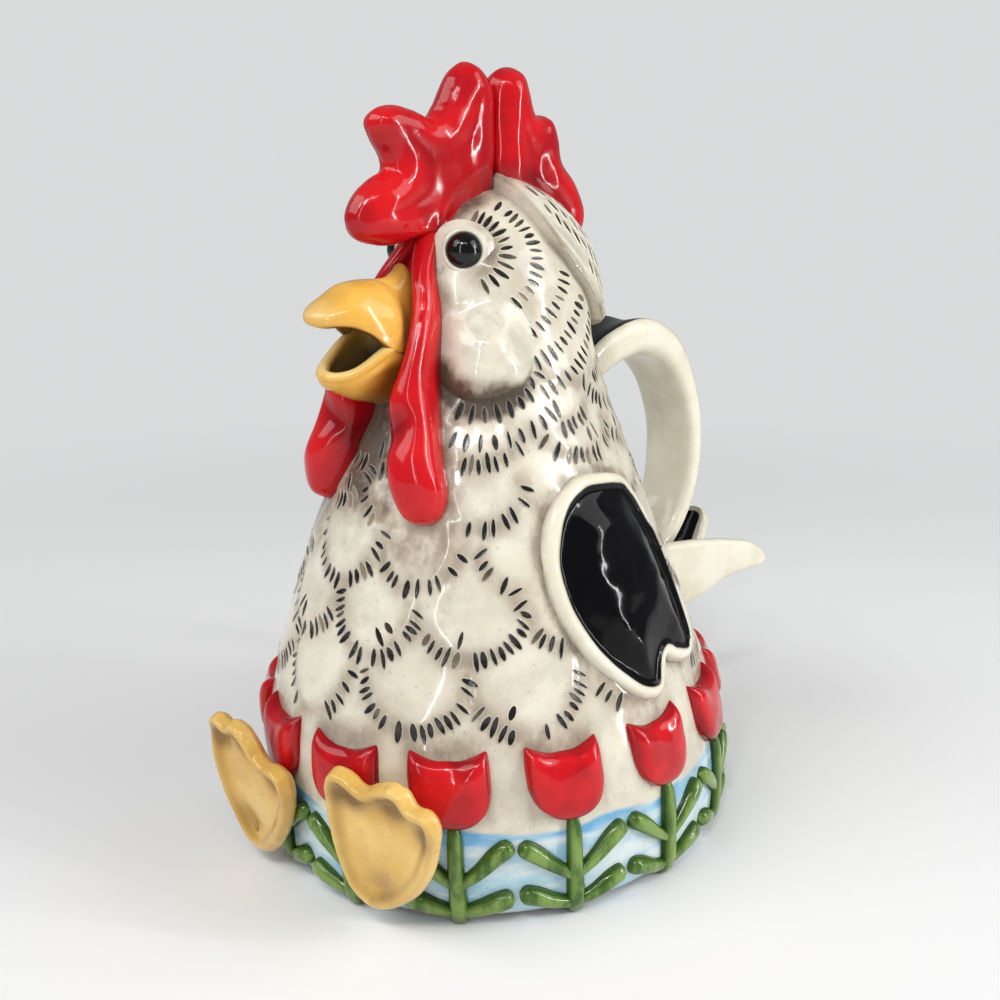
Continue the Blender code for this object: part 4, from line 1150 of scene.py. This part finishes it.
def buildBeak(name, sign):
    # sign is 1 for the bowl turned over; v runs over the outside, round the rim and back along the inside
    form = beakForm[name]
    rimStart, rimEnd = 0.44, 0.56

    def along(key, y):
        line = curve(form[key], np.linspace(0.0, 1.0, 300))
        return np.interp(y, line[:, 0], line[:, 1])

    def place(u, v):
        c, s = np.cos(fullTurn * u), np.sin(fullTurn * u)
        y = form["middle"] - c * np.where(c > 0.0, form["front"], form["back"])
        x = form["wide"] * np.sign(s) * np.abs(s) ** 0.88 * (1.0 - 0.33 * ease(-55.0, -47.0, y))
        rim = np.stack([x, y], -1)
        out = unit(np.stack([x / form["wide"] ** 2, (y - form["middle"]) / form["front"] ** 2], -1))
        bead, centre, outside = form["bead"], np.array([0.0, form["middle"]]), v < rimStart
        far = np.sin(0.5 * math.pi * clamp(np.where(outside, v, 1.0 - v) / rimStart))
        inner = np.where(outside, 0.0, 1.7 * bead)[:, None]
        flat = centre + (rim - out * inner - centre) * far[:, None]
        crown, hollow = along("crown", flat[:, 1]), ease(*form["cavity"], flat[:, 1])
        edge = along("edge", y) - 0.10 * x
        foot = edge + 0.39 * sign * bead
        roof = np.where(outside, crown, foot + (crown - 3.6 * sign - foot) * hollow)
        z = foot + (roof - foot) * clamp(1.0 - far ** 2) ** 0.42
        # the rolled rim
        roll = -0.4 + (math.pi + 0.8) * (v - rimStart) / 0.12
        onRim = (v >= rimStart) & (v <= rimEnd)
        beyond = form["proud"] - bead + bead * np.cos(roll)
        flat = np.where(onRim[:, None], rim + out * beyond[:, None], flat)
        z = np.where(onRim, edge - sign * bead * np.sin(roll), z)
        spot = np.concatenate([flat, z[:, None]], 1)
        spot[:, 2] += 0.25 * lumps(spot, 9.0, 2.0)
        # painted shade inside, under the lower rim, as a line under the upper rim and towards the face, and a
        # painted shadow over the hole; the lower rim is thin and pale
        back = 0.5 * ease(-54.0, -44.0, flat[:, 1])
        if sign < 0.0:
            thin = np.exp(-((v - 0.495) / 0.032) ** 2) * ease(-50.0, -56.0, y)
            deep = 0.85 * ease(0.43, 0.37, v) * ease(-74.0, -58.0, flat[:, 1]) * outside
        else:
            thin = 0.7 * ease(-70.0, -80.0, flat[:, 1]) * ease(0.49, 0.40, v)
            deep = 1.1 * ease(0.462, 0.482, v) * ease(0.56, 0.53, v) * ease(-79.5, -75.0, y)
        inside = np.interp(v, [0.525, 0.57, 0.66, 0.82], [0.0, 0.35, 0.62, 1.0]) * (0.25 + 0.75 * hollow)
        holeShadow = ease(0.57, 0.64, v) * ease(-57.0, -51.0, flat[:, 1])
        return spot, {"inside": inside, "holeShadow": holeShadow, "thin": thin, "deep": clamp(deep + back)}

    half = addSheet("beak" + name.title(), 96, 120, place)
    weld(half)
    modify(half, "SMOOTH", factor=0.5, iterations=2)
    hand(half, glaze["beak"], "yellow_glaze", "pot", name + "_beak")


buildBeak("upper", 1.0)
buildBeak("lower", -1.0)
print("stage beak")


# wings: a rolled white rim round a glossy black panel
wingForm = {"rim": 3.4, "high": 4.0, "panel": 2.7, "sunk": 1.2}


def wingDepth(away, u, v):
    rise = wingForm["high"] * quarterRound(away / wingForm["rim"])
    sink = (wingForm["high"] - wingForm["panel"]) * ease(wingForm["rim"], 6.0, away)
    flat = np.stack([u, v, 0.0 * u], -1)
    wave = 0.65 * lumps(flat, 13.0, 2.0) + 0.3 * lumps(flat, 6.0, 7.0)
    return rise - sink + 3.0 * ease(4.5, 17.0, away) + wave * ease(3.0, 8.0, away)


for sideName, side in sides:
    def placeWing(u, v, d):
        turn = sprigs["wingMiddle"] + u / reach(np.full(len(v), sprigs["wingMiddle"]), v)
        return skin(side * turn, v, d)

    wing, local = addPlate("wing" + sideName, wingOutline, wingDepth,
                           lambda away, u, v: np.full(len(u), -wingForm["sunk"]), placeWing)
    away = edgeDistance(wingOutline, local[:, :2])[0]
    rear = ease(18.0, 25.0, local[:, 0]) * ease(70.0, 78.0, local[:, 1])
    shift = 2.4 * rear - 0.9 * ease(-12.0, -22.0, local[:, 0])
    paint(wing, "panel", away + shift)
    # painted shade along the wing's edge on the skin, and a little next to the black panel
    paint(wing, "washAndShade", 0.75 * ease(1.1, 0.1, away) + 0.25 * ease(3.2, 3.9, away + shift))
    hand(wing, glaze["pair"], "black_glaze", "pot", sideName.lower() + "_wing")
print("stage wings")


# handle and tail: straps with a dished face, black inside white edges
strapForm = {
    # x, y, z, half width and thickness along each strap
    "handle": [(0, 20, 147, 13, 7), (0, 30, 154.5, 13.5, 7.2), (0, 44, 162.5, 13.8, 7.6), (0, 62, 166, 13.8, 7.8),
               (0, 77, 161, 13.4, 7.4), (0, 87.5, 151, 13, 6.6), (0, 94.5, 138, 12.6, 5.8),
               (0, 98.2, 124, 12.4, 5.2), (0, 98, 110, 12.2, 5), (0, 94.5, 96, 11.8, 4.8),
               (0, 87.5, 85, 11.4, 4.8), (0, 77, 77.5, 11, 5), (0, 62, 74, 10.6, 5.2)],
    "centre": [(0, 60, 63.4, 9.2, 3.4), (0, 82, 63.2, 9.8, 3.4), (0, 96, 65.4, 9.6, 3.4), (0, 107, 71.4, 8.6, 3.2),
               (0, 113.6, 80, 7.6, 3), (0, 117.6, 87, 6.4, 2.6)],
    "side": [(16, 54, 69, 15.2, 4), (17.5, 76, 69.2, 14.6, 4), (20, 92, 70.4, 12, 3.8),
             (22.6, 104.5, 71.6, 8.8, 3.5), (25.6, 116.5, 71.2, 6.2, 3), (28.2, 127, 67.8, 4.2, 2.4)],
}


def ahead(line, t, step=1e-3):
    # the way a curve runs at t
    return curve(line, np.minimum(t + step, 1.0)) - curve(line, np.maximum(t - step, 0.0))


def strapSection(line, toSide, dish, lumpiness, tip=0.0):
    def section(turn, t):
        row = curve(line, t)
        along = unit(ahead(line, t)[..., :3])
        across = unit(toSide - along * (along @ toSide)[:, None])
        out = np.cross(across, along)
        c, s = np.cos(turn), np.sin(turn)
        end = roundedEnd((t - 1.0 + tip) / max(tip, 1e-6))
        reachOut = row[..., 3] * end
        wide = reachOut * np.sign(c) * np.abs(c) ** 0.62
        deep = row[..., 4] * (0.45 + 0.55 * end) * np.sign(s) * np.abs(s) ** 0.72
        hollow = dish * end * clamp(1.0 - (wide / np.maximum(0.84 * reachOut, 0.1)) ** 2) ** 1.2
        deep = deep - np.where(s > 0, hollow, -0.18 * hollow)
        spots = row[..., :3] + across * wide[:, None] + out * deep[:, None]
        return spots + out * (lumpiness * lumps(spots, 14.0, 2.5))[:, None], {}
    return section


def gridShare(piece):
    # where each corner of a sheet lay on its flat grid
    flat = np.empty(2 * len(piece.data.loops))
    piece.data.uv_layers[0].data.foreach_get("uv", flat)
    owner = np.empty(len(piece.data.loops), int)
    piece.data.loops.foreach_get("vertex_index", owner)
    u, v = np.zeros(len(piece.data.vertices)), np.zeros(len(piece.data.vertices))
    u[owner], v[owner] = flat[0::2], flat[1::2]
    return u, v


def strapPanel(piece, edge):
    # the black face is marked by how far round the strap each corner lies
    u, v = gridShare(piece)
    wide = np.abs(np.cos(fullTurn * u)) ** 0.62
    return np.where(np.sin(fullTurn * u) > 0.0, edge * (1.0 - wide), 0.0), v


toLeft = np.array([1.0, 0.0, 0.0])
handle = addTube("handle", 72, 150, strapSection(strapForm["handle"], toLeft, 2.7, 0.35))
paint(handle, "panel", strapPanel(handle, 14.5)[0] + 0.6)
y, z = corners(handle)[:, 1:].T / mm
# painted shade where the handle meets the head and on its lower end
washAndShade = 0.65 * ease(46.0, 26.0, y) * ease(120.0, 140.0, z) + 0.5 * ease(90.0, 72.0, z)
paint(handle, "washAndShade", clamp(washAndShade))
weld(handle)
hand(handle, glaze["pair"], "white_glaze", "pot", "handle")

tail = addTube("tailCentre", 56, 80, strapSection(strapForm["centre"], toLeft, 1.7, 0.2, 0.16))
panel, v = strapPanel(tail, 7.2)
paint(tail, "panel", (panel + 0.8) * ease(0.97, 0.88, v))
# painted shade where the centre feather meets the body
paint(tail, "washAndShade", 0.6 * ease(84.0, 66.0, corners(tail)[:, 1] / mm))
weld(tail)
hand(tail, glaze["pair"], "white_glaze", "pot", "centre_tail_feather")
for sideName, side in sides:
    line = [(x * side, y, z, half, thick) for x, y, z, half, thick in strapForm["side"]]
    tail = addTube("tail" + sideName, 56, 84, strapSection(line, np.array([0.0, 0.0, side]), 2.0, 0.5, 0.22))
    paint(tail, "panel", 0.0)
    # painted shade where the side feather meets the body
    paint(tail, "washAndShade", 0.6 * ease(74.0, 60.0, corners(tail)[:, 1] / mm))
    weld(tail)
    hand(tail, glaze["pair"], "white_glaze", "pot", sideName.lower() + "_tail_feather")
print("stage handle and tail")


# feet: dished soles, toes rolled over the top edge
footForm = {
    "outline": [(-10, 5.4), (-16.4, 9), (-20, 16.5), (-22.2, 26), (-22.8, 37), (-21.4, 46.4), (-17.4, 51),
                (-12, 50.2), (-7.2, 47.6), (-1.6, 50.4), (4, 52.4), (9.2, 51), (11.8, 47.2), (15.8, 47.4),
                (19.2, 44.2), (19.2, 37.4), (15.8, 26.4), (9.2, 16), (0.6, 8.4), (-5, 5.6)],
    "Left": {"x": 39.6, "y": -85.6, "rise": 2.6, "turn": 11.0, "lean": 5.0, "roll": 0.0, "lug": -86.0},
    "Right": {"x": 25.5, "y": -91.8, "rise": 1.6, "turn": -2.0, "lean": 8.0, "roll": 25.0, "lug": -92.4},
    "middle": 28.0,
}
footRing = closedCurve(footForm["outline"], 6)


def dent(u, v, atU, atV, wideU, wideV):
    return np.exp(-((u - atU) / wideU) ** 2 - ((v - atV) / wideV) ** 2)


def toeDent(u, v):
    return (dent(u, v, -13.0, 42.0, 5.0, 4.2) + dent(u, v, 2.6, 43.0, 5.0, 4.0)
            + 0.7 * dent(u, v, 13.5, 38.0, 3.6, 4.6))


def heelDent(u, v):
    return dent(u, v, -4.0, 14.0, 6.0, 5.0)


def soleDepth(away, u, v):
    roll = 3.2 * quarterRound(away / 2.4)
    dish = 2.5 * ease(2.2, 7.4, away) + 1.5 * toeDent(u, v) + 0.7 * heelDent(u, v)
    lip = 1.1 * ease(36.0, 47.0, v) * ease(6.5, 3.0, away)
    flat = np.stack([u, v, 0.0 * u], -1)
    return roll - dish + lip + 0.4 * lumps(flat, 9.0, 3.0) * ease(1.0, 4.0, away)


def soleBack(away, u, v):
    return -2.5 * quarterRound(away / 2.6)


for sideName, side in sides:
    own = footForm[sideName]

    def placeFoot(u, v, d):
        turn, roll, lean = [math.radians(own[key]) for key in ("turn", "roll", "lean")]
        d, v = d - 1.5, v - footForm["middle"]
        across = u * math.cos(roll) - v * math.sin(roll)
        up = footForm["middle"] + u * math.sin(roll) + v * math.cos(roll)
        x = own["x"] + across * math.cos(turn) + d * math.sin(turn)
        y = own["y"] + across * math.sin(turn) - d * math.cos(turn) - up * math.tan(lean)
        return np.stack([side * x, y, up + own["rise"]], -1)

    def lugSection(turn, t):
        # the lug runs from the sole back into the body
        x, z = side * (29.0 + 5.6 * np.cos(turn)), 16.0 + 8.6 * np.sin(turn)
        # the lug is painted darker all over, as shade between the foot and the body
        return np.stack([x, own["lug"] * (1.0 - t) - 71.0 * t, z], -1), {"deep": 0.6}

    foot, local = addPlate("foot" + sideName, footRing, soleDepth, soleBack, placeFoot)
    u, v, d = local.T
    away = edgeDistance(footRing, local[:, :2])[0]
    # painted shade in the toe dents and round the dish on the top face, and in the heel dent
    deep = np.where(d > -0.9, 1.5 * toeDent(u, v) + 0.35 * np.exp(-((away - 4.4) / 1.5) ** 2), 0.0)
    paint(foot, "deep", clamp(deep + 0.6 * heelDent(u, v)))
    lug = addTube("lug" + sideName, 32, 14, lugSection)
    weld(lug)
    foot = join("foot" + sideName, [foot, lug])
    hand(foot, glaze["foot"], "ochre_glaze", "pot", sideName.lower() + "_foot")
print("stage feet")


# tulips: cushions with a scooped top, and stems with paired leaves
tulipForm = {
    "low": 33.0,
    "high": 58.2,
    "half": 12.5,
    "thick": 4.4,
    "widths": [[0.56], [0.86], [0.98], [1.0], [0.985], [0.94]],
    # degrees off the middle, height, half width and thickness
    "stem": [(0.0, 1.4, 2.9, 3.0), (0.15, 9.0, 2.9, 3.4), (-0.1, 20.0, 2.6, 3.2), (0.0, 35.0, 2.4, 2.9)],
    "leaves": [(13.6, 27.0), (4.0, 9.8)],
}


def tulipSheet(middle):
    def place(u, v):
        s = np.sin(0.5 * math.pi * (2.0 * u - 1.0))
        t = 0.5 + 0.5 * np.sin(0.5 * math.pi * (2.0 * v - 1.0))
        wide = curve(tulipForm["widths"], t)[..., 0]
        top = tulipForm["high"] - 3.9 * (1.0 - np.abs(s) ** 1.7) + 0.7 * np.exp(-(s / 0.25) ** 2)
        low = tulipForm["low"] + 1.7 * s * s
        z = low + (top - low) * t
        angle = middle + s * wide * tulipForm["half"] / reach(np.full(len(z), middle), z)
        edge = np.sqrt(clamp(1.0 - np.abs(s) ** 5.0))
        edge = edge * np.sqrt(clamp(1.0 - np.abs(2.0 * t - 1.0) ** 6.0))
        rim = 0.5 * ease(0.55, 0.92, t) * ease(0.3, 0.9, np.abs(s))
        swell = 0.72 + 0.28 * np.sin(math.pi * clamp(0.1 + 0.7 * t)) + rim * 0.35
        dip = 0.22 * np.exp(-(s / 0.35) ** 2) * ease(0.5, 1.0, t)
        lift = -0.9 + (tulipForm["thick"] * (swell - dip) + 0.9) * edge
        return skin(angle, z, lift + 0.35 * lumps(skinPoint(angle, z), 8.0, 2.0) * edge), {}
    return place


def stalk(name, path):
    # a rounded stalk on the skin along (angle in degrees, height, half width, thickness)
    def section(turn, t):
        a, z, half, thick = curve(path, t).T
        tip = roundedEnd((t - 0.82) / 0.18, 0.02)
        way, a = ahead(path, t), np.radians(a)
        east, north = np.radians(way[..., 0]) * reach(a, z), way[..., 1]
        long = np.hypot(east, north)
        across = half * tip * np.cos(turn)
        crease = 0.35 * np.exp(-(np.cos(turn) / 0.25) ** 2) * (np.sin(turn) > 0)
        lift = thick * tip * np.sin(turn) - crease + 0.2
        spot = skin(a + across * north / long / reach(a, z), z - across * east / long, 0.96 * lift)
        spot[:, 2] = np.maximum(spot[:, 2], 0.3)
        return spot, {}
    piece = addTube(name, 20, 24, section)
    side = np.sin(fullTurn * gridShare(piece)[0])
    # painted shade down the sides against the skin and near the floor, and a painted highlight along the top
    deep = 0.85 * ease(0.80, 0.15, side) + 0.4 * ease(7.0, 1.0, corners(piece)[:, 2] / mm)
    paint(piece, "ridgeHighlight", ease(0.55, 0.95, side))
    paint(piece, "deep", clamp(deep))
    weld(piece)
    return piece


for k in range(sprigs["tulips"]):
    middle = 360.0 / sprigs["tulips"] * (k + 0.5)
    signed = middle if middle < 180.0 else middle - 360.0
    number = "%02d" % (k + 1)
    head = addSheet("tulip" + number, 34, 34, tulipSheet(math.radians(signed)))
    flat = corners(head) / mm
    u, v = gridShare(head)
    border = np.maximum(np.abs(np.sin(math.pi * (u - 0.5))), np.abs(np.sin(math.pi * (v - 0.5))))
    # darker in random patches, with painted shade round the border and at the lower end of each head
    deep = 0.5 * ease(39.0, 33.5, flat[:, 2]) + 0.35 * ease(0.0, 0.5, lumps(flat, 7.0, 1.0))
    paint(head, "deep", clamp(deep + 0.5 * ease(0.78, 0.98, border)))
    weld(head, 2e-5, True)
    hand(head, glaze["red"], "red_glaze", "pot", "tulip_head_" + number)

    stem = [stalk("stem" + number, [(signed + a, z, half, thick) for a, z, half, thick in tulipForm["stem"]])]
    for side in (1.0, -1.0):
        # no leaves under the feet
        if abs(signed) < 20.0 and side * signed > 0.0:
            continue
        for start, end in tulipForm["leaves"]:
            wobble = random.uniform(-0.8, 0.8)
            stem.append(stalk("leaf", [(signed, start, 1.7, 2.2),
                                       (signed + side * 4.4, start + 0.36 * (end - start), 2.3, 3.0),
                                       (signed + side * 8.6, start + 0.74 * (end - start) + wobble, 3.0, 3.7),
                                       (signed + side * 12.2, end + wobble, 3.0, 3.4)]))
    plant = join("stem" + number, stem)
    hand(plant, glaze["green"], "green_glaze", "pot", "tulip_stem_" + number)
print("stage flowers")


# stage: pale floor and backdrop, soft light, camera at the photo's angle
paleGrey = (0.70, 0.705, 0.71)
floorMaterial, place = startMaterial("floorPale")
seen = place.node("ShaderNodeLightPath")
far = place.node("ShaderNodeVectorMath", {"operation": "LENGTH"}, {0: place}, 1)
paper = place.node("ShaderNodeBsdfPrincipled", None, {"Base Color": (0.80, 0.80, 0.80), "Roughness": 0.7})
paleLight = place.node("ShaderNodeEmission", None, {"Color": paleGrey, "Strength": 1.0})
faded = place.node("ShaderNodeMixShader", None, {0: far.step(0.22, 0.80) * seen, 1: paper, 2: paleLight})
place.node("ShaderNodeOutputMaterial", None, {"Surface": faded})
bpy.ops.mesh.primitive_plane_add(size=6.0, location=(0.0, 0.0, -0.0002))
floor = bpy.context.object
floor.name = "floor"
floor.data.materials.append(floorMaterial)

world = bpy.data.worlds.new("studio")
bpy.context.scene.world = world
world.use_nodes = True
worldWire = Wire(world.node_tree)
seen = worldWire.node("ShaderNodeLightPath")
world.node_tree.nodes["Background"].inputs["Strength"].default_value = 1.0
backdrop = seen.mix((0.23, 0.235, 0.24), paleGrey)
world.node_tree.links.new(backdrop.socket, world.node_tree.nodes["Background"].inputs["Color"])

# place, size and power of each lamp
lamps = {
    "key": ((-0.50, -1.30, 1.50), (1.40, 1.20), 19.0),
    "fill": ((1.30, 0.90, 1.20), (1.20, 1.20), 13.0),
    "spark": ((0.42, -0.62, 0.95), (0.11, 0.11), 1.6),
    "topStrip": ((0.35, -0.55, 0.95), (1.00, 0.03), 2.4),
    "sideStrip": ((0.95, 0.50, 0.35), (0.02, 0.90), 6.0),
    "frontStrip": ((0.50, -0.95, 0.50), (0.02, 0.90), 2.0),
}
for name, (where, size, power) in lamps.items():
    lamp = bpy.data.lights.new(name, "AREA")
    lamp.shape = "RECTANGLE"
    lamp.size, lamp.size_y = size
    lamp.energy = power
    holder = bpy.data.objects.new(name, lamp)
    bpy.context.scene.collection.objects.link(holder)
    holder.location = where
    holder.rotation_euler = (Vector((0.0, 0.0, 0.12)) - Vector(where)).to_track_quat("-Z", "Y").to_euler()

cameraForm = {
    "lens": 38.16,
    "sensor": 36.0,
    "place": (0.25490, -0.25490, 0.20829),
    "forward": (-0.68672, 0.67992, -0.25717),
    "roll": math.radians(-0.21),
}
camera = bpy.data.cameras.new("camera")
camera.lens = cameraForm["lens"]
camera.sensor_width = cameraForm["sensor"]
cameraHolder = bpy.data.objects.new("camera", camera)
bpy.context.scene.collection.objects.link(cameraHolder)
forward = Vector(cameraForm["forward"]).normalized()
right = forward.cross(Vector((0.0, 0.0, 1.0))).normalized()
upward = right.cross(forward)
c, s = math.cos(cameraForm["roll"]), math.sin(cameraForm["roll"])
matrix = Matrix((right * c + upward * s, upward * c - right * s, -forward)).transposed().to_4x4()
matrix.translation = Vector(cameraForm["place"])
cameraHolder.matrix_world = matrix
bpy.context.scene.camera = cameraHolder
bpy.context.scene.view_settings.view_transform = "Standard"
print("stage camera and light")
